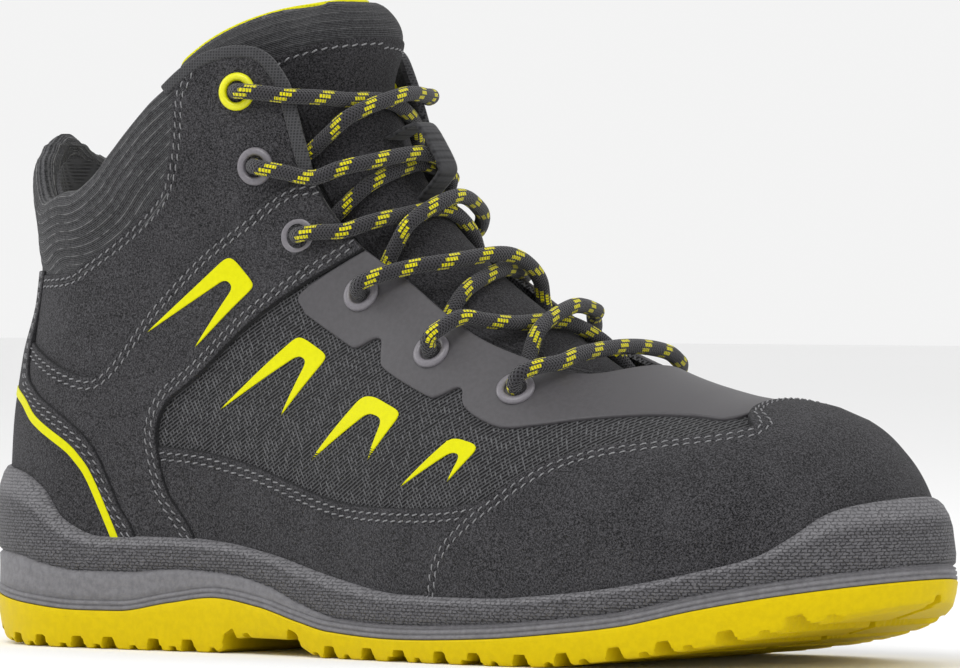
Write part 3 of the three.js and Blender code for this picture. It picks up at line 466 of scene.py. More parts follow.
class Skin:
    """A piece of the upper: the part of a layer inside an outline. Ribs follow the given line, or on a
    skin that ends at the boot's mouth they follow the mouth."""

    def __init__(self, outline, side=0, depth=0.0, grid=(360, 230), with_mouth=True, levels=(0.15, 0.5),
                 ribs=None, floor=below_rim):
        if depth not in LAYERS:
            LAYERS[depth] = Layer(depth)
        self.layer = LAYERS[depth]
        data, tris = loop_grid(grid[0] if side == 0 else grid[0] // 2, grid[1], side)
        x, z = self.layer.side_view(*data.T)
        low, high = np.min(outline, 0) - 3, np.max(outline, 0) + 3
        near = (x > low[0]) & (x < high[0]) & (z > low[1]) & (z < high[1])
        data, tris = compact(data, tris[near[tris].any(1)])
        self.measure(data, outline, with_mouth, ribs, floor)
        data, tris = cut(self.data, tris, 2, 0.0)
        data, tris = compact(data, tris[data[tris, 2].max(1) > 1e-6])
        for level in levels:
            data, tris = cut(data, tris, 2, level)
        if ribs is not None:
            for k in range(1, 2 * int(data[:, 3].max() / RIB_PITCH)):
                data, tris = cut(data, tris, 3, k * RIB_PITCH / 2)
        self.data, self.tris = compact(data, tris)
        self.point = self.layer.point(self.data[:, 0], self.data[:, 1])
        self.normal = self.layer.normal(self.data[:, 0], self.data[:, 1])
        self.edge = self.data[:, 2]
        self.rib = self.data[:, 3]

    def measure(self, data, outline, with_mouth, ribs, floor):
        """Adds the distances inside the edges and from the rib line to the turns and levels."""
        point, normal = self.layer.point(*data.T), self.layer.normal(*data.T)
        edge = depth_inside(point, normal, np.array(outline))
        if with_mouth:
            from_mouth = mouth_distance(point, normal, data[:, 0])
            edge = np.minimum(edge, from_mouth)
        edge = np.minimum(edge, point[:, 2] - floor(point[:, 0]))
        rib = from_mouth if with_mouth else np.zeros(len(edge))
        if ribs is not None and not with_mouth:
            d, qx, qz, _, _ = nearest(point[:, 0], point[:, 2], ribs)
            rib = stretched(d, point[:, 0] - qx, point[:, 2] - qz, normal)
        self.data = np.column_stack([data, edge, rib])

    def faces(self, top, bottom):
        """Outer face, inner face and the wall between them, from two heights above the layer."""
        outer = self.point + self.normal * top[:, None]
        inner = self.point + self.normal * bottom[:, None]
        n = len(outer)
        edges = np.concatenate([self.tris[:, pair] for pair in ([0, 1], [1, 2], [2, 0])]).astype(np.int64)
        both = set((edges[:, 1] * n + edges[:, 0]).tolist())
        rim = edges[[k not in both for k in (edges[:, 0] * n + edges[:, 1]).tolist()]]
        seam = np.abs(np.abs(self.data[:, 0]) - math.pi) < 1e-6
        rim = rim[~(seam[rim[:, 0]] & seam[rim[:, 1]])]
        a, b = rim.T
        wall = np.concatenate([np.stack([a, a + n, b + n], -1), np.stack([a, b + n, b], -1)])
        tris = np.concatenate([self.tris, self.tris[:, ::-1] + n, wall])
        return np.concatenate([outer, inner]), tris


def rounded(edge, radius):
    """How far a face drops near its edge."""
    share = np.clip(edge / radius, 0, 1)
    return radius * (1 - np.sqrt(np.clip(1 - (1 - share) ** 2, 0, 1)))


# ---- meshes and pieces
def linked(name, data):
    """A new object in the scene."""
    made = bpy.data.objects.new(name, data)
    bpy.context.scene.collection.objects.link(made)
    return made


def grid_faces(rows, count, around=True, closed=False):
    """Quads between rows of points: each row may run round, and the last row may meet the first."""
    faces = []
    for j in range(rows if closed else rows - 1):
        low, high = j * count, (j + 1) % rows * count
        for i in range(count if around else count - 1):
            ahead = (i + 1) % count
            faces.append([low + i, low + ahead, high + ahead, high + i])
    return faces


def end_faces(total, count):
    """The two ends of a tube with rows of count points."""
    return [list(range(count))[::-1], list(range(total - count, total))]


def new_object(name, points, faces, material, angle=50, merge=True, **fields):
    """A mesh object from points in millimetres, with its rest place and other fields as attributes."""
    mesh = bpy.data.meshes.new(name)
    metres = (np.asarray(points) - ORIGIN) / 1000
    mesh.from_pydata(metres.tolist(), [], faces.tolist() if hasattr(faces, "tolist") else faces)
    for key, values in fields.items():
        values = np.asarray(values, np.float32)
        kind = "FLOAT_VECTOR" if values.ndim == 2 else "FLOAT"
        attribute = mesh.attributes.new(key, kind, "POINT")
        attribute.data.foreach_set("vector" if values.ndim == 2 else "value", values.ravel())
    rest = mesh.attributes.new("rest", "FLOAT_VECTOR", "POINT")
    rest.data.foreach_set("vector", np.asarray(points, np.float32).ravel())
    if merge:
        work = bmesh.new()
        work.from_mesh(mesh)
        bmesh.ops.remove_doubles(work, verts=work.verts, dist=1.5e-5)
        bmesh.ops.dissolve_degenerate(work, dist=1e-6, edges=work.edges)
        work.to_mesh(mesh)
        work.free()
        mesh.validate()
    mesh.shade_smooth()
    mesh.set_sharp_from_angle(angle=math.radians(angle))
    mesh.materials.append(material)
    return linked(name, mesh)


def add_piece(made, nodes=(), body="boot"):
    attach(made, body)
    if nodes:
        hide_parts(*nodes)
    return made


def skin_between(name, skin, upper, lower, material, angle=50):
    """A skin between two heights above its layer, as an object with its edge and rib distances."""
    points, tris = skin.faces(upper, lower)
    skin.outer = points[:len(upper)]
    return new_object(name, points, tris, material, angle, edge=np.tile(skin.edge, 2),
                      rib=np.tile(skin.rib, 2))


def skin_object(name, skin, top, thickness, material, radius=0.5):
    """The panel as an object, its outer face at height top."""
    drop = rounded(skin.edge, radius)
    top = np.broadcast_to(top, skin.edge.shape)
    return skin_between(name, skin, top - drop, top - thickness, material)


# ---- stitches
def contours(skin, values, level):
    """Lines on a skin's outer face where values equal level, as arrays of points and normals."""
    t = skin.tris
    high = values > level
    mixed = np.isin(high[t].sum(1), (1, 2))
    links = {}
    ends = {}
    for tri in t[mixed]:
        pair = []
        for a, b in ((0, 1), (1, 2), (2, 0)):
            i, j = sorted((int(tri[a]), int(tri[b])))
            if high[i] != high[j]:
                w = (level - values[i]) / (values[j] - values[i])
                ends[(i, j)] = (skin.outer[i] * (1 - w) + skin.outer[j] * w,
                                skin.normal[i] * (1 - w) + skin.normal[j] * w)
                pair.append((i, j))
        for one, other in (pair, pair[::-1]):
            links.setdefault(one, []).append(other)
    lines, seen = [], set()
    for start in sorted(links, key=lambda k: len(links[k])):
        if start in seen:
            continue
        chain, at = [start], start
        seen.add(start)
        while True:
            ahead = [k for k in links[at] if k not in seen]
            if not ahead:
                break
            at = ahead[0]
            seen.add(at)
            chain.append(at)
        lines.append(np.array([np.concatenate(ends[k]) for k in chain]))
    return lines


DASH_SHARES = np.array([0.0, 0.14, 0.5, 0.86, 1.0])
DASH_SIZES = np.array([0.25, 0.9, 1.0, 0.9, 0.25]) * STITCH["radius"]
DASH_LIFTS = np.array([-0.2, 0.1, 0.2, 0.1, -0.2])
DASH_SIDES = 6
DASH_POINTS = DASH_SIDES * len(DASH_SHARES)
DASH_FACES = grid_faces(len(DASH_SHARES), DASH_SIDES) + end_faces(DASH_POINTS, DASH_SIDES)


def dashes(line):
    """Points of the thread dashes along one line of points and normals."""
    run = run_along(line[:, :3])
    corners = np.linspace(0, 2 * math.pi, DASH_SIDES, endpoint=False)[None, :, None]
    points = []
    for k in range(int(run[-1] / STITCH["pitch"])):
        p = read_at((k + 0.12) * STITCH["pitch"] + DASH_SHARES * STITCH["length"], run, line)
        n = unit(p[:, 3:])
        b = np.cross(n, unit(p[-1, :3] - p[0, :3]))
        middle = p[:, :3] + n * DASH_LIFTS[:, None] + b * ((DASH_SHARES - 0.5) * 0.5)[:, None]
        around = np.cos(corners) * b[:, None] + 0.8 * np.sin(corners) * n[:, None]
        points.append((middle[:, None] + DASH_SIZES[:, None, None] * around).reshape(-1, 3))
    return points


def stitched(name, skin, seams, rows=ROWS, sides=(-1, 1), rides=True):
    """Rows of stitches on a skin beside each seam line."""
    points = []
    for seam in seams:
        for side in sides:
            x, z = skin.point[:, 0], skin.point[:, 2]
            d, qx, qz, along, _ = nearest(x, z, on_side(seam, side))
            d = stretched(d, x - qx, z - qz, skin.normal)
            blocked = (skin.data[:, 0] * side < -1e-9) | (along <= 0) | (along >= 1)
            for row in rows:
                for line in contours(skin, np.where(blocked, 99.0, d), row):
                    if len(line) > 4 and run_along(line[:, :3])[-1] > SHORTEST_ROW:
                        points += dashes(line)
    faces = [[v + DASH_POINTS * k for v in face] for k in range(len(points)) for face in DASH_FACES]
    made = new_object(name, np.concatenate(points), faces, MATERIALS["thread"], angle=80)
    return add_piece(made) if rides else made


# ---- materials
def shade(r, g, b):
    """A colour from 0-255 values, made linear."""
    return tuple(((c / 255 + 0.055) / 1.055) ** 2.4 if c > 10 else c / 3294.6 for c in (r, g, b)) + (1.0,)


class Look:
    """One procedural material. Places are in millimetres from the mesh's rest attribute."""

    def __init__(self, name, roughness, **sockets):
        self.material = bpy.data.materials.new(name)
        self.material.use_nodes = True
        self.tree = self.material.node_tree
        self.tree.nodes.clear()
        self.surface = self.tree.nodes.new("ShaderNodeBsdfPrincipled")
        self.surface.inputs["Roughness"].default_value = roughness
        for key, value in sockets.items():
            self.surface.inputs[key.replace("_", " ")].default_value = value
        out = self.tree.nodes.new("ShaderNodeOutputMaterial")
        self.tree.links.new(self.surface.outputs[0], out.inputs[0])

    def add(self, kind, inputs, output=0, **props):
        made = self.tree.nodes.new(kind)
        for key, value in props.items():
            setattr(made, key, value)
        for key, value in inputs.items():
            if isinstance(value, bpy.types.NodeSocket):
                self.tree.links.new(value, made.inputs[key])
            else:
                made.inputs[key].default_value = value
        return made.outputs[output]

    def field(self, name):
        return self.add("ShaderNodeAttribute", {}, 2, attribute_name=name)

    def place(self, scale=(1, 1, 1), turn=(0, 0, 0), name="rest"):
        at = self.add("ShaderNodeAttribute", {}, 1, attribute_name=name)
        return self.add("ShaderNodeMapping", {0: at, 2: turn, 3: scale})

    def solid_place(self):
        at = self.add("ShaderNodeTexCoord", {}, 3)
        return self.add("ShaderNodeMapping", {0: at, 3: (1000, 1000, 1000)})

    def noise(self, at, scale, detail=2.0, rough=0.5):
        return self.add("ShaderNodeTexNoise", {0: at, "Scale": scale, "Detail": detail, "Roughness": rough})

    def math(self, operation, a, b=0.0, c=0.0):
        return self.add("ShaderNodeMath", {0: a, 1: b, 2: c}, operation=operation)

    def times(self, a, b):
        return self.math("MULTIPLY", a, b)

    def plus(self, a, b):
        return self.math("ADD", a, b)

    def minus(self, a, b):
        return self.math("SUBTRACT", a, b)

    def part(self, at, axis):
        return self.add("ShaderNodeSeparateXYZ", {0: at}, axis)

    def ramp(self, value, low, high):
        return self.add("ShaderNodeMapRange", {0: value, 1: low, 2: high}, interpolation_type="SMOOTHSTEP")

    def mix(self, share, a, b):
        return self.add("ShaderNodeMix", {0: share, 6: a, 7: b}, 2, data_type="RGBA")

    def wave(self, value, pitch):
        """0 to 1 and back over each pitch."""
        turn = self.times(value, 2 * math.pi / pitch)
        return self.math("MULTIPLY_ADD", self.math("COSINE", turn), -0.5, 0.5)

    def finish(self, colour, height=None, depth=0.2, **links):
        self.tree.links.new(colour, self.surface.inputs["Base Color"])
        if height is not None:
            bump = self.add("ShaderNodeBump", {"Height": height, "Distance": depth / 1000, "Strength": 1.0})
            self.tree.links.new(bump, self.surface.inputs["Normal"])
        for key, value in links.items():
            self.tree.links.new(value, self.surface.inputs[key.replace("_", " ")])
        return self.material


def suede_look(name, dark, light):
    look = Look(name, 0.92, Sheen_Weight=0.06, Sheen_Roughness=0.6, Specular_IOR_Level=0.12)
    at = look.place()
    grain = look.noise(at, 1.9, 3.0, 0.75)
    fibre = look.noise(look.place((1, 1, 1.6)), 3.0, 2.0, 0.6)
    patch = look.noise(at, 0.07, 3.0)
    both = look.plus(look.times(grain, 0.62), look.times(fibre, 0.38))
    value = look.plus(look.ramp(both, 0.38, 0.64), look.math("MULTIPLY_ADD", patch, 0.35, -0.2))
    napped = look.mix(value, dark, light)
    # Painted shadow: the suede is darkened within 0.55 mm of every panel edge, standing in for the shadow
    # line along the seams.
    edge = look.minus(1.0, look.ramp(look.field("edge"), 0.0, 0.55))
    colour = look.mix(look.times(edge, 0.75), napped, shade(20, 20, 22))
    from_rows = [look.math("ABSOLUTE", look.minus(look.field("edge"), row)) for row in ROWS]
    row = look.math("MINIMUM", *from_rows)
    groove = look.ramp(row, 0.0, 0.7)
    return look.finish(colour, look.plus(both, look.times(groove, 0.5)), 0.55)


def mesh_look():
    look = Look("mesh_cloth", 0.8, Sheen_Weight=0.05, Specular_IOR_Level=0.2)
    at = look.place((1, 1, 1), (0, math.radians(32), 0))
    warp = look.wave(look.part(at, 0), 1.15)
    weft = look.wave(look.part(at, 2), 0.95)
    worn = look.noise(look.place((0.9, 0.9, 0.12), (0, math.radians(32), 0)), 1.3, 3.0, 0.7)
    weave = look.math("MAXIMUM", look.times(warp, look.ramp(worn, 0.3, 0.65)), look.times(weft, 0.72))
    hole = look.times(look.minus(1.0, warp), look.minus(1.0, weft))
    colour = look.mix(look.ramp(weave, 0.25, 1.0), shade(8, 8, 10), shade(94, 94, 96))
    colour = look.mix(look.ramp(hole, 0.35, 0.9), colour, shade(4, 4, 6))
    return look.finish(colour, weave, 0.35)


def knit_look(name, pitch, dark, light, bright):
    look = Look(name, 0.88, Sheen_Weight=0.08, Sheen_Roughness=0.5, Specular_IOR_Level=0.15)
    at = look.place()
    rib = look.field("rib")
    crest = look.wave(rib, pitch)
    fine = look.wave(rib, pitch / 5)
    ticks = look.noise(look.place((1.6, 1.6, 1.6)), 1.0, 2.0, 0.7)
    worn = look.noise(at, 0.35, 3.0, 0.6)
    line = look.times(look.ramp(crest, 0.88, 1.0), look.ramp(worn, 0.36, 0.62))
    value = look.plus(look.times(look.ramp(ticks, 0.35, 0.7), 0.4), look.times(fine, 0.6))
    colour = look.mix(value, dark, light)
    colour = look.mix(look.times(line, bright), colour, shade(140, 140, 140))
    height = look.plus(look.times(crest, 0.6), look.times(value, 0.6))
    return look.finish(colour, height, 0.45)


def plain_look(name, roughness, low, high, scale=1.2, depth=0.06, **sockets):
    """A moulded or painted finish: one colour with slight mottling and a fine skin."""
    look = Look(name, roughness, **sockets)
    at = look.place()
    mottle = look.noise(at, scale, 4.0, 0.6)
    skin = look.noise(at, 6.0, 2.0)
    colour = look.mix(look.ramp(mottle, 0.3, 0.7), low, high)
    rough = look.math("MULTIPLY_ADD", mottle, 0.16, roughness - 0.08)
    return look.finish(colour, skin, depth, Roughness=rough)


def foam_look():
    look = Look("midsole_foam", 0.6, Specular_IOR_Level=0.35)
    at = look.place(name="wall")
    vector = "ShaderNodeVectorMath"
    wobble = look.add(vector, {0: look.noise(at, 0.7), 1: (1.8, 1.2, 0)}, operation="MULTIPLY")
    bent = look.add(vector, {0: at, 1: wobble}, operation="ADD")
    sizes = {"Scale": 1.0, "Mortar Size": 0.24, "Mortar Smooth": 0.9, "Brick Width": 1.7, "Row Height": 1.1}
    brick = look.add("ShaderNodeTexBrick", {0: bent, **sizes}, 1)
    fine = look.noise(at, 3.0, 2.0)
    worn = look.ramp(look.noise(at, 0.9, 3.0), 0.3, 0.6)
    crease = look.times(look.times(brick, worn), look.field("grain"))
    mottle = look.noise(look.place(), 0.6, 4.0, 0.65)
    # The lighter foam colour is the real smooth wedge low on the wall, and is also laid on the top facet
    # (grain 0.6) as a painted highlight.
    smooth_foam_and_lit_facet = look.mix(look.ramp(mottle, 0.25, 0.75), shade(98, 97, 100), shade(118, 117, 120))
    grained = look.mix(look.ramp(mottle, 0.25, 0.75), shade(70, 69, 72), shade(96, 95, 98))
    base = look.mix(look.ramp(look.field("grain"), 0.65, 0.95), smooth_foam_and_lit_facet, grained)
    # Painted shade: the embossed brick creases are coloured near black for the shade that falls in those
    # recesses; the same mask also sinks them as a bump.
    colour = look.mix(look.times(crease, 0.85), base, shade(26, 25, 28))
    height = look.math("MULTIPLY_ADD", crease, -1.0, look.times(fine, 0.25))
    return look.finish(colour, height, 0.5)


def lace_look():
    """Braided cord with groups of slanted yellow ticks, from the run along it and the turn round it."""
    look = Look("lace_cord", 0.75, Sheen_Weight=0.2, Specular_IOR_Level=0.1)
    run, turn = look.field("run"), look.field("turn")
    left = look.plus(look.times(run, 1 / STRAND_PITCH), look.times(turn, STRANDS))
    right = look.minus(look.times(run, 1 / STRAND_PITCH), look.times(turn, STRANDS))
    strand = look.math("MAXIMUM", look.wave(left, 1.0), look.wave(right, 1.0))
    row = look.math("FLOOR", look.times(turn, STRANDS))
    across = look.math("FRACT", look.times(turn, STRANDS))
    shifted_run = look.plus(look.times(run, 1 / TICK_PITCH), look.times(row, 1 / STRANDS))
    along = look.math("FRACT", shifted_run)
    mask = look.times(look.math("LESS_THAN", along, 0.3), look.math("COMPARE", across, 0.5, 0.34))
    mask = look.times(mask, look.ramp(look.wave(run, 0.8), 0.0, 0.2))
    dark = look.mix(look.ramp(strand, 0.2, 1.0), shade(12, 12, 14), shade(62, 61, 64))
    colour = look.mix(mask, dark, shade(224, 214, 4))
    return look.finish(colour, strand, 0.35)


def cloth_look(name, dark, light, pitch=1.0):
    look = Look(name, 0.9, Sheen_Weight=0.15, Specular_IOR_Level=0.15)
    at = look.place()
    warp, weft = look.wave(look.part(at, 0), pitch), look.wave(look.part(at, 2), pitch)
    worn = look.noise(at, 0.9, 3.0)
    value = look.plus(look.times(look.math("MAXIMUM", warp, weft), 0.6), look.times(worn, 0.4))
    return look.finish(look.mix(value, dark, light), value, 0.2)


def solid_look(name, roughness, low, high, **sockets):
    """For a CAD node kept as it is: its places come from the object."""
    look = Look(name, roughness, **sockets)
    mottle = look.noise(look.solid_place(), 0.8, 4.0)
    return look.finish(look.mix(look.ramp(mottle, 0.3, 0.7), low, high), mottle, 0.05)


MATERIALS = {
    "suede": suede_look("suede", shade(6, 6, 8), shade(80, 79, 82)),
    "tongue_suede": suede_look("tongue_suede", shade(4, 4, 6), shade(68, 67, 70)),
    "mesh": mesh_look(),
    "knit": knit_look("collar_knit", RIB_PITCH, shade(12, 12, 14), shade(90, 90, 92), 0.5),
    "tongue_knit": knit_look("tongue_knit", RIB_PITCH, shade(12, 12, 14), shade(74, 74, 76), 0.15),
    "overlay": plain_look("moulded_overlay", 0.5, shade(58, 56, 59), shade(66, 64, 67), 0.8, 0.05),
    "film": plain_look("yellow_film", 0.42, shade(204, 202, 0), shade(210, 208, 0), 0.8, 0.03,
                       Specular_IOR_Level=0.1),
    "rubber": plain_look("yellow_rubber", 0.5, shade(202, 176, 0), shade(210, 184, 0), 0.5, 0.08,
                         Specular_IOR_Level=0.1),
    "foam": foam_look(),
    "eyelet_grey": plain_look("grey_eyelet", 0.35, shade(104, 101, 106), shade(114, 111, 116), 1.5, 0.02),
    "eyelet_yellow": plain_look("yellow_eyelet", 0.35, shade(212, 210, 0), shade(220, 218, 0), 1.5, 0.02),
    "thread": plain_look("thread", 0.7, shade(98, 98, 100), shade(136, 136, 138), 2.0, 0.05),
    "lace": lace_look(),
    "lining": cloth_look("lining_cloth", shade(26, 26, 28), shade(66, 66, 68)),
    "yellow_cloth": cloth_look("yellow_cloth", shade(190, 186, 8), shade(222, 218, 20)),
    "binding": cloth_look("binding", shade(10, 10, 12), shade(78, 78, 80), 0.8),
    "webbing": cloth_look("webbing", shade(20, 20, 22), shade(62, 62, 64), 1.6),
    "board": solid_look("insole_board", 0.9, shade(176, 170, 156), shade(190, 184, 170)),
    "stiffener": solid_look("stiffener", 0.5, shade(30, 30, 32), shade(40, 40, 42)),
    "steel": solid_look("shank_steel", 0.35, shade(128, 130, 134), shade(150, 152, 156), Metallic=1.0),
}


# ---- upper
def shifted(points, dx, dz):
    return np.array(points, float) + (dx, dz)


def joined(*parts):
    return np.vstack([np.array(part, float).reshape(-1, 2) for part in parts])


KNIT_CURVE, HEEL_CURVE = catmull(KNIT_SEAM), catmull(HEEL_SEAM)
COLLAR_CURVE, BAND_CURVE = catmull(COLLAR_SEAM), catmull(BAND_SEAM)
LOWER_CURVE, TOE_CURVE, TAB_CURVE = catmull(LOWER_SEAM), catmull(TOE_SEAM), catmull(TOE_TAB)
TOPLINE_CURVE, THROAT_CURVE = catmull(TOPLINE), catmull(THROAT)
SEAM_TO_TAB = joined(TOE_CURVE, TAB_CURVE[1:])
LOOK_OF = {"leather": "suede", "cloth": "mesh", "moulded": "overlay"}


def add_panel(part, skin, cloth, side=0, seams=(), height=0.0, radius=0.5):
    """The outer piece of a CAD node of the upper, with the height and thickness of that part."""
    look = LOOK_OF[cloth]
    ending = f"_{SIDE_NAMES[side]}" if side else ""
    made = skin_object(f"{part}_{cloth}{ending}", skin, PANELS[part][0] + height, PANELS[part][1],
                       MATERIALS[look], radius)
    add_piece(made, [part + ending])
    if seams:
        stitched(f"{part}_stitches{ending}", skin, seams, sides=(side,) if side else (-1, 1))


def build_toe():
    outline = joined(SEAM_TO_TAB, [(100, 110), (178, 110), (178, 0), (24, 0)])
    skin = Skin(outline, grid=(420, 250))
    x, _, z = skin.point.T
    height = TOE_LIFT * smooth((z - 54) / 10) * smooth((x - 100) / 18) - TOE_INSET * smooth((x - 124) / 22)
    add_panel("toe_panel", skin, "leather", seams=[SEAM_TO_TAB], height=height)


def build_heel():
    outline = joined(HEEL_CURVE[::-1], [(-126, 103.5), (-175, 103.5), (-175, 0), (-72, 0)])
    skin = Skin(outline, grid=(420, 250), with_mouth=False)
    height = -HEEL_FALL * smooth((skin.point[:, 2] - 78) / 18)
    add_panel("heel_panel", skin, "leather", seams=[HEEL_CURVE], height=height)


def build_sides(side):
    collar = joined(KNIT_CURVE, [(-62, 200), (10, 200), (0, 124)], shifted(COLLAR_CURVE, 2, -5),
                    [(-175, 79), (-175, 102.5)])
    skin = Skin(collar, side)
    add_panel("collar_panel", skin, "leather", side, [KNIT_CURVE])
    stitched(f"collar_edge_stitches_{SIDE_NAMES[side]}", skin,
             [joined(TOPLINE_CURVE[60:], THROAT_CURVE[:20])], rows=(1.8,), sides=(side,))
    band = joined(COLLAR_CURVE, [(-136, 80)], shifted(HEEL_CURVE[8:], -6, 0), BAND_CURVE[::-1])
    add_panel("side_band", Skin(band, side), "leather", side, [COLLAR_CURVE, BAND_CURVE])
    lower = joined(LOWER_CURVE, [(64, 48), (34, 0), (-86, 0), (-86, 56)])
    add_panel("lower_quarter", Skin(lower, side), "leather", side, [LOWER_CURVE])
    mesh = [(-82, 76), (-80, 46), (-20, 36), (62, 38), (122, 58), (122, 110), (60, 110), (0, 130),
            (-24, 122), (-64, 90)]
    add_panel("mesh_quarter", Skin(mesh, side), "cloth", side, radius=0.3)


def build_binding(side):
    """Woven tape over the front edge of the collar panel, from the top arc to the second eyelet."""
    edge = joined(TOPLINE_CURVE[72:], THROAT_CURVE[:18])
    inward = left_of(edge)
    outline = joined(edge + inward * 2, (edge - inward * 3.4)[::-1])
    skin = Skin(on_side(outline, side), side, grid=(900, 520))
    name = f"collar_binding_{SIDE_NAMES[side]}"
    height = PANELS["collar_panel"][0] + 0.5
    add_piece(skin_object(name, skin, height, 2.2, MATERIALS["binding"], 0.7))


def build_overlay():
    outline = joined(catmull(OVERLAY_EDGE, 5), [(110, 110), (-4, 125)])
    add_panel("eyestay_overlay", Skin(outline, grid=(480, 300)), "moulded")


def build_film(name, outline, side, height, node):
    skin = Skin(outline, side, grid=(2200, 1300), with_mouth=False, levels=(0.1,))
    made = skin_object(name, skin, height, FILM["thickness"], MATERIALS["film"], FILM["radius"])
    add_piece(made, [node])


def softened(outline, reach=2.4):
    """The outline with its blunt corners rounded and its narrow tips kept."""
    points = np.array(outline, float)
    soft = []
    for a, p, b in zip(np.roll(points, 1, 0), points, np.roll(points, -1, 0)):
        sizes = [min(reach, 0.45 * np.linalg.norm(q - p)) for q in (a, b)]
        one, other = unit(a - p) * sizes[0], unit(b - p) * sizes[1]
        blunt = one @ other < 0.7 * sizes[0] * sizes[1]
        soft += [p + one * (1 - t) ** 2 + other * t ** 2 for t in np.linspace(0, 1, 6)] if blunt else [p]
    return np.array(soft)


def build_films():
    line = catmull(STRIPE_TOP)
    stripe = joined(line, (line + left_of(line) * FILM["stripe_width"])[::-1])
    build_film("heel_stripe_film", stripe, 0, PANELS["heel_panel"][0] + 0.25, "heel_stripe")
    for side, name in SIDE_NAMES.items():
        for i, outline in enumerate(CHEVRONS):
            below = PANELS["mesh_quarter" if i else "side_band"][0]
            build_film(f"chevron_film_{name}_{i + 1}", softened(outline), side, below + FILM["above"],
                       f"chevron_{name}_{i + 1}")


def build_collar():
    """Padded knitted collar: a thick roll with ribs that follow the topline."""
    outline = joined(shifted(KNIT_CURVE, 2.0, -2.5), [(-60, 240), (-178, 240), (-178, 100)])
    skin = Skin(outline, grid=(420, 260), levels=(0.4, 1.2, 2.6, 4.6), ribs=MOUTH)
    x, z = skin.point[:, 0], skin.point[:, 2]
    d, qx, qz, _, _ = nearest(x, z, KNIT_CURVE)
    near_seam = stretched(d, x - qx, z - qz, skin.normal)
    puff = COLLAR_PUFF * (1 - 0.5 * smooth((-118 - x) / 16)) * smooth(near_seam / 9)
    ribs = 0.16 * np.cos(2 * math.pi * skin.rib / RIB_PITCH)
    fall = np.where(near_seam < skin.rib, 0, rounded(skin.edge, COLLAR_EDGE))
    top = 0.2 + puff - ribs * smooth(near_seam / 4) - fall * 0.9
    made = skin_between("collar_knit_pad", skin, top, fall * 0.75 - COLLAR_DEPTH, MATERIALS["knit"], 80)
    add_piece(made, ["collar_padding"])


def build_lining():
    top = shifted(TOPLINE[:-4], 0, -6)
    outline = joined(top, LINED_THROAT, [(78, 240), (200, 240), (200, 0), (-200, 0), (-200, 138)])
    skin = Skin(outline, grid=(220, 150), depth=LINING_DEPTH, with_mouth=False, levels=(0.4,),
                floor=base_at)
    made = skin_object("lining_cloth", skin, 0.0, 1.2, MATERIALS["lining"])
    add_piece(made, ["lining"])


# ---- tongue
def tongue_depth(x, z):
    below, _ = ridge_at(x, z)
    padded = TONGUE_SWELL * smooth((z - 151) / 18) * smooth((x + 46) / 14)
    return TONGUE_DEPTH + TONGUE_DIP * smooth((below - 22) / 22) - padded


def add_tongue_piece(made, nodes=()):
    """Hides the CAD nodes that a tongue piece replaces and bakes its place into its mesh."""
    if nodes:
        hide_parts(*nodes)
    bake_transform(made)


def build_tongue():
    curved = catmull(TONGUE_EDGE[:15], 6)
    outline = joined(curved, TONGUE_EDGE[15:])
    skin = Skin(outline, grid=(220, 130), depth=tongue_depth, with_mouth=False, levels=(0.3, 1.0, 2.2, 4.0),
                ribs=np.array(TONGUE_EDGE[:16], float))
    free = smooth((skin.point[:, 2] - 150) / 12)
    puff = 0.9 * smooth(skin.edge / 8) * smooth((skin.point[:, 2] - 140) / 20)
    held = rounded(skin.edge, 3.2) * 0.9 * (1 - free)
    outer = puff - held - rounded(skin.edge, 10) * 0.56 * free
    inner = held + rounded(skin.edge, 1) * 0.3 * free - TONGUE_THICK
    made = skin_between("tongue_knit_pad", skin, outer, inner, MATERIALS["tongue_knit"], 80)
    add_tongue_piece(made, ("tongue", "tongue_top"))
    face = Skin(joined(catmull(TONGUE_FACE[:14], 6), TONGUE_FACE[14:]), grid=(420, 260), depth=tongue_depth,
                with_mouth=False)
    made = skin_object("tongue_face_leather", face, 1.4, 1.2, MATERIALS["tongue_suede"])
    add_tongue_piece(made)
    made = stitched("tongue_face_stitches", face, [np.array(TONGUE_FACE[8:14], float)], rows=(1.8,),
                    rides=False)
    add_tongue_piece(made)
    lined = joined(shifted(outline[:-2], -0.6, 0.5), TONGUE_EDGE[15:])
    skin = Skin(lined, grid=(360, 220), depth=lambda x, z: tongue_depth(x, z) + TONGUE_LINING_DEPTH,
                with_mouth=False, levels=(0.3,))
    made = skin_object("tongue_lining_cloth", skin, 0.0, 1.7, MATERIALS["yellow_cloth"], 0.3)
    add_tongue_piece(made, ("tongue_lining", "tongue_top_lining"))


# ---- eyelets, lace and keeper
def frame_at(x, z, side):
    """Surface point, its outward normal and two directions across it."""
    point, normal = surface_point(x, z, side), surface_normal(x, z, side)
    across = unit(np.cross(normal, (0, 0, 1.0)))
    return point, normal, across, np.cross(normal, across)


def build_eyelet(i, side, count=48):
    x, z = on_side([EYELETS[i]], side)[0]
    point, normal, u, v = frame_at(x, z, side)
    seat = PANELS["eyestay_overlay"][0] + 0.1 if i > 2 else PANELS["collar_panel"][0] + 0.05
    angles = np.linspace(0, 2 * math.pi, count, endpoint=False)
    around = np.cos(angles)[:, None] * u + np.sin(angles)[:, None] * v
    rings = [point + around * r + normal * (h + seat) for r, h in EYELET_PROFILE]
    faces = grid_faces(len(rings), count, closed=True)
    slot = "eyelet_grey" if i else "eyelet_yellow"
    name = f"eyelet_{SIDE_NAMES[side]}_{i + 1}"
    add_piece(new_object(name + "_ring", np.concatenate(rings), faces, MATERIALS[slot], 40), [name])


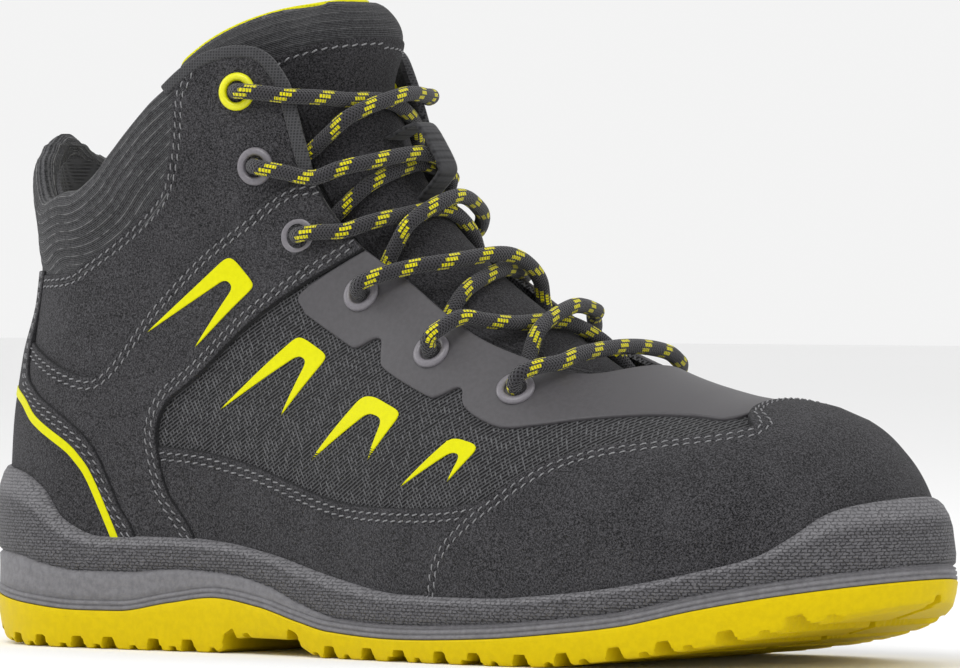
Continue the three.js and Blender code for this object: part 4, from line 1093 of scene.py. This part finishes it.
def lace_at(start, end, share, side, depth):
    x, z = np.array(start, float) + (np.array(end, float) - start) * share
    return surface_point(x, z, side) - surface_normal(x, z, side) * depth


def nearest_on_ridge(point):
    return int(np.argmin(np.linalg.norm(ridge_line - np.array(point), axis=1)))


def beside_ridge(i, shift, depth):
    tangent = unit(ridge_line[i + 1] - ridge_line[i - 1])
    return ridge_line[i] + tangent * shift + np.array([-tangent[1], tangent[0]]) * depth


def on_centre(point):
    return np.array([point[0], centre_at(point[0]), point[1]])


def crossing_centre(i):
    ends = ridge_line[nearest_on_ridge(LACE_UNDER[i + 1])], ridge_line[nearest_on_ridge(LACE_OVER[i])]
    return nearest_on_ridge((ends[0] + ends[1]) / 2)


def through_eyelet(i, side):
    """Over the throat edge, down through eyelet i and back to the edge on the inside."""
    eyelet, edge = on_side([EYELETS[i]], side)[0], on_side([LACE_OVER[i]], side)[0]
    raised = 1.1 if i > 2 else 0
    down = [lace_at(edge, eyelet, share, side, depth - raised)
            for share, depth in ((0, -2.8), (0.5, -4.4), (0.84, -4.5))]
    down += [lace_at(eyelet, edge, 0, side, depth) for depth in (-1.9 - raised, 0.3, 2.7)]
    if i == 0:
        tucked = eyelet + (3, -9)
        return down + [lace_at(eyelet, tucked, 0.12, side, 5), lace_at(eyelet, tucked, 1, side, 6)]
    under = on_side([LACE_UNDER[i]], side)[0]
    return down + [lace_at(eyelet, under, share, side, depth)
                   for share, depth in ((0.1, 4.7), (0.42, 5.3), (0.9, 5.2))]


def crossing(i, side, on_top):
    centre = crossing_centre(i)
    start, end = on_side([LACE_UNDER[i + 1]], side)[0], on_side([LACE_OVER[i]], -side)[0]
    depths = (3.4, 0.8, -1.4, -2.8) if on_top else (4.6, 4.4, 2.8, -0.2)
    ridge = ridge_line[centre]
    return [lace_at(start, ridge, 0.3, side, depths[0]), lace_at(start, ridge, 0.62, side, depths[1]),
            on_centre(beside_ridge(centre, 0, -0.6 if on_top else 4.4)),
            lace_at(end, ridge, 0.62, -side, depths[2]), lace_at(end, ridge, 0.3, -side, depths[3]),
            *through_eyelet(i, -side)]


def lace_end(start):
    points, side = through_eyelet(5, start), start
    for i in range(4, -1, -1):
        points += crossing(i, side, start < 0)
        side = -side
    return points


def lace_route():
    lowest = LACE_OVER[-1]
    ridge = nearest_on_ridge(lowest)
    bar = [lace_at(lowest, ridge_line[ridge], 0.45, side, -3.2) for side in (1, -1)]
    bar.insert(1, on_centre(beside_ridge(ridge, 0, -1.6)))
    return np.array(lace_end(1)[::-1] + bar + lace_end(-1))


def centripetal(points, per=8):
    """Smooth curve through points whose spacing may vary."""
    p = np.vstack([2 * points[0] - points[1], points, 2 * points[-1] - points[-2]])
    out = []
    for i in range(1, len(p) - 2):
        a, b, c, d = p[i - 1:i + 3]
        t = [max(np.linalg.norm(v), 1e-6) ** 0.5 for v in (b - a, c - b, d - c)]
        m = ((b - a) / t[0] - (c - a) / (t[0] + t[1]) + (c - b) / t[1]) * t[1]
        n = ((c - b) / t[1] - (d - b) / (t[1] + t[2]) + (d - c) / t[2]) * t[1]
        out.append(cubic(b, c, m, n, np.linspace(0, 1, per, endpoint=False)[:, None]))
    return np.vstack(out + [p[-2:-1]])


def sweep(line, radius, sides):
    """Round tube along a line: its points and the turn round it. Each ring's first point is doubled."""
    tangent = unit(np.gradient(line, axis=0))
    across = np.cross(tangent[0], (0, 0, 1.0))
    turn = np.linspace(0, 1, sides + 1)
    low, high = np.cos(turn * 2 * math.pi)[:, None], np.sin(turn * 2 * math.pi)[:, None]
    rings = []
    for p, t in zip(line, tangent):
        across = unit(across - t * (across @ t))
        rings.append(p + radius * (low * across + high * np.cross(t, across)))
    return np.concatenate(rings), np.tile(turn, len(line))


def build_lace(sides=20):
    line = spaced(centripetal(lace_route(), 10), 1500)
    points, turn = sweep(line, LACE_RADIUS, sides)
    faces = grid_faces(len(line), sides + 1, around=False)
    faces += [list(range(sides))[::-1], list(range(len(points) - sides - 1, len(points) - 1))]
    run = np.repeat(run_along(line), sides + 1)
    made = new_object("lace_cord", points, faces, MATERIALS["lace"], 180, merge=False, run=run, turn=turn)
    add_piece(made, ["lace"])


def build_keeper():
    """Webbing loop over the second crossing, its ends sewn to the tongue."""
    centre = crossing_centre(1)
    path = np.array([beside_ridge(centre, *point) for point in catmull(KEEPER_ARCH)])
    points = []
    for p, n in zip(path, left_of(path)):
        points += [(p[0] - n[0] * h, centre_at(p[0]) + y, p[1] - n[1] * h) for y, h in KEEPER_SECTION]
    size = len(KEEPER_SECTION)
    faces = grid_faces(len(path), size) + end_faces(len(points), size)
    made = new_object("lace_keeper_webbing", points, faces, MATERIALS["webbing"], 60)
    add_piece(made, ["lace_keeper"])


# ---- sole
def plan_ring(start, end, half_at, count):
    """Closed plan outline, from the heel along the lateral side to the toe and back."""
    x = start + (end - start) * (1 - np.cos(np.linspace(0, math.pi, count + 1))) / 2
    lateral, medial = (np.stack([x, centre_at(x) + side * half_at(x, side)], -1) for side in (-1, 1))
    return np.vstack([lateral, medial[-2:0:-1]])


def spine_of(ring, start, end):
    """For each point of a plan outline, the nearest of the points along the sole's middle."""
    x = np.clip(ring[:, 0], start, end)
    return np.stack([x, centre_at(x)], -1)


def sole_half(x, side):
    heel = np.maximum(0, 1 - (x - SOLE_HEEL) / SOLE_HEEL_ROUND) ** HEEL_POWER
    toe = np.maximum(0, 1 - (SOLE_TOE - x) / SOLE_TOE_ROUND[side]) ** TOE_POWER
    return through(SOLE_WIDTH[side])(x) * np.sqrt(np.maximum(0, 1 - heel - toe))


def sole_ring(count):
    ring = plan_ring(SOLE_HEEL, SOLE_TOE, sole_half, count)
    return spaced(np.vstack([ring, ring[:1]]), 2 * count)[:-1]


def outward(ring):
    step = np.roll(ring, -1, 0) - np.roll(ring, 1, 0)
    return unit(np.stack([step[:, 1], -step[:, 0]], -1))


def wall_profile(x):
    """Outward shift, height and grain of the midsole wall, from the outsole up and over the rim. Grain 0.6
    on the top facet also gives it the lighter foam colour, a painted highlight.
    """
    low, wedge, rim = outsole_top_at(x) + 0.1, wedge_at(x), rim_at(x)
    front = smooth((x - 100) / 40)
    rows = [(-6, low, 0), (0.1, low, 0), (0.6, low + 0.35, 0), (0.6, low + 0.95, 0), (0.1, low + 1.2, 0),
            (0.1, low + 1.45, 0), (0.5, low + 1.7, 0), (0.5, low + 2.3, 0), (-0.05, low + 2.55, 0),
            (-0.05, low + 2.8, 0), (0.25, low + 3.05, 0)]
    middle = np.maximum(wedge - 0.7, low + 3.2)
    rows += [(0.25 - 0.35 * s * (1 - s), low + 3.15 + (middle - low - 3.15) * s, 0)
             for s in (0.25, 0.5, 0.75, 1.0)]
    top = np.maximum(wedge, middle + 0.4)
    rows += [(-0.55, top, 0), (-0.45, top + 0.35, 1), (0.35, top + 1.1, 1)]
    crease = top + 1.1 + (rim - top - 1.1) * 0.58
    rows += [(0.75, top + 1.1 + (crease - top - 1.1) * s, 1) for s in (0.25, 0.6, 1.0)]
    # The top facet from the crease to the rim has grain 0.6, which also gives it the lighter foam colour:
    # painted light on the facet that slopes up towards the lamps.
    rows += [(0.2, crease + (rim - crease) * 0.45, 0.6), (-0.9, crease + (rim - crease) * 0.8, 0.6),
             (-1.9, rim - 0.35, 0.6), (-2.7, rim, 0.6), (-3.5, rim - 0.1, 1), (-4.2, rim - 0.7, 1),
             (-6 - 3 * front, rim - 3 - 1.5 * front, 1)]
    lean = [WALL_LEAN * front * np.clip((height - wedge) / (rim - wedge), 0, 1) for _, height, _ in rows]
    return [(shift - leant, height, grained) for (shift, height, grained), leant in zip(rows, lean)]


def build_midsole():
    ring = sole_ring(380)
    normal, count = outward(ring), len(ring)
    run = run_along(ring)
    points, grain, wall = [], [], []
    for shift, height, grained in wall_profile(ring[:, 0]):
        points.append(np.column_stack([ring + normal * shift[:, None], height]))
        wall.append(np.column_stack([run, height * 1.25, np.zeros(count)]))
        grain.append(np.full(count, grained))
    faces = grid_faces(len(points), count, closed=True)
    made = new_object("midsole_foam", np.concatenate(points), faces, MATERIALS["foam"], 70,
                      grain=np.concatenate(grain), wall=np.concatenate(wall))
    add_piece(made, ["midsole"])


def tread_depth(x, y):
    """Depth of the tread grooves under a point of the sole."""
    off_centre = np.abs(y - centre_at(x))
    out = np.zeros(np.shape(x))
    for k, groove in enumerate(GROOVES):
        out = np.maximum(out, smooth((2.9 - np.abs(x - groove)) / 1.4) * 3.4)
        notch = groove + (6.5 if k % 2 else 8.5)
        edge = smooth((off_centre - 26) / 4)
        out = np.maximum(out, smooth((1.5 - np.abs(x - notch)) / 0.8) * 1.4 * edge)
    return np.maximum(out, smooth((1.8 - off_centre) / 0.8) * 2.4)


def build_outsole():
    ring = sole_ring(700)
    normal, count = outward(ring), len(ring)
    low, high = tread_at(ring[:, 0]), outsole_top_at(ring[:, 0])
    spine = spine_of(ring, SOLE_HEEL + 38, SOLE_TOE - 48)
    rows = [np.column_stack([ring - normal * 7, high])]
    for shift, share in ((0.5, 1.0), (0.75, 0.93), (0.6, 0.8), (0.35, 0.55)):
        rows.append(np.column_stack([ring + normal * shift, low + (high - low) * share]))
    for shift, share in ((0.1, 0.42), (-0.2, 0.26), (-0.5, 0.12), (-1.1, 0.03), (-2.0, 0.0)):
        plan = ring + normal * shift
        z = low + (high - low) * share
        rows.append(np.column_stack([plan, np.maximum(z, low + tread_depth(plan[:, 0], plan[:, 1]))]))
    for share in np.linspace(0.03, 1, 34):
        plan = ring - normal * 2.0
        plan = plan + (spine - plan) * share
        rows.append(np.column_stack([plan, tread_at(plan[:, 0]) + tread_depth(plan[:, 0], plan[:, 1])]))
    faces = [face[::-1] for face in grid_faces(len(rows), count)]
    made = new_object("outsole_rubber", np.concatenate(rows), faces, MATERIALS["rubber"], 35)
    add_piece(made, ["outsole"])


def footbed_half(x, side):
    return np.maximum(half_breadth(x, base_at(x) + 5, side, FOOTBED_DEPTH), 0) * FOOTBED_SHARE


def build_footbed():
    """Removable footbed: a soft shaped sheet with a raised rim round the heel."""
    ring = plan_ring(back_at(30.0) + 8.8, FOOTBED_TIP, footbed_half, 90)
    spine = spine_of(ring, -100, 95)
    rows = []
    for share, height in ((1, 2.8), (0.4, 2.8), (0.05, 2.8), (0, 3.1), (0, 5.2), (0, 7.1), (0.015, 7.6),
                          (0.06, 7.6), (0.2, 6.9), (0.5, 6.4), (1, 6.2)):
        plan = ring + (spine - ring) * share
        rows.append(np.column_stack([plan, base_at(plan[:, 0]) + height]))
    faces = grid_faces(len(rows), len(ring))
    made = new_object("footbed_cloth", np.concatenate(rows), faces, MATERIALS["lining"], 60)
    add_piece(made, ["footbed"], body="footbed")


def finish_hidden_nodes():
    """Hard parts inside the boot stay as their CAD solids."""
    looks = {"insole_board": "board", "toe_cap": "stiffener", "heel_counter": "stiffener", "shank": "steel"}
    for name, look in looks.items():
        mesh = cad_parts[name].data
        mesh.materials.clear()
        mesh.materials.append(MATERIALS[look])


# ---- studio
def look_from(made, place, aim):
    """Puts a light or camera at a place, turned to its aim."""
    made.location = place
    made.rotation_euler = (Vector(aim) - Vector(place)).to_track_quat("-Z", "Y").to_euler()


def add_light(name, place, size, power):
    data = bpy.data.lights.new(name, "AREA")
    data.shape, data.size, data.size_y, data.energy = "RECTANGLE", size[0], size[1], power
    light = linked(name, data)
    look_from(light, place, (0, 0, 0.07))


def build_studio():
    mesh = bpy.data.meshes.new("studio_floor")
    corners = [(-FLOOR, -FLOOR, 0), (FLOOR, -FLOOR, 0), (FLOOR, FLOOR, 0), (-FLOOR, FLOOR, 0)]
    mesh.from_pydata(corners, [], [(0, 1, 2, 3)])
    look = Look("studio_floor", 0.9)
    mottle = look.noise(look.add("ShaderNodeTexCoord", {}, 3), 0.4)
    mesh.materials.append(look.finish(look.mix(mottle, shade(244, 244, 244), shade(247, 247, 247))))
    linked("studio_floor", mesh)
    world = bpy.data.worlds.new("studio")
    world.use_nodes = True
    world.node_tree.nodes["Background"].inputs[0].default_value = (1, 1, 1, 1)
    world.node_tree.nodes["Background"].inputs[1].default_value = SKY_STRENGTH
    bpy.context.scene.world = world
    bpy.context.scene.view_settings.view_transform = "Standard"
    add_light("key_light", (0.2, -1.3, 1.6), (1.0, 0.8), 14)
    add_light("heel_light", (-1.5, -0.6, 0.9), (0.9, 1.1), 7)
    add_light("toe_light", (1.6, 0.3, 1.0), (0.9, 1.0), 6)


def build_camera():
    data = bpy.data.cameras.new("camera")
    data.sensor_width, data.lens = 36.0, LENS
    data.clip_start, data.clip_end = 0.05, 20.0
    camera = linked("camera", data)
    look_from(camera, CAMERA_PLACE, CAMERA_AIM)
    bpy.context.scene.camera = camera


build_studio()
build_camera()
build_outsole()
build_midsole()
build_footbed()
finish_hidden_nodes()
build_lining()
build_toe()
build_heel()
build_collar()
for boot_side in (-1, 1):
    build_sides(boot_side)
    build_binding(boot_side)
    for number in range(6):
        build_eyelet(number, boot_side)
build_overlay()
build_films()
build_tongue()
build_lace()
build_keeper()
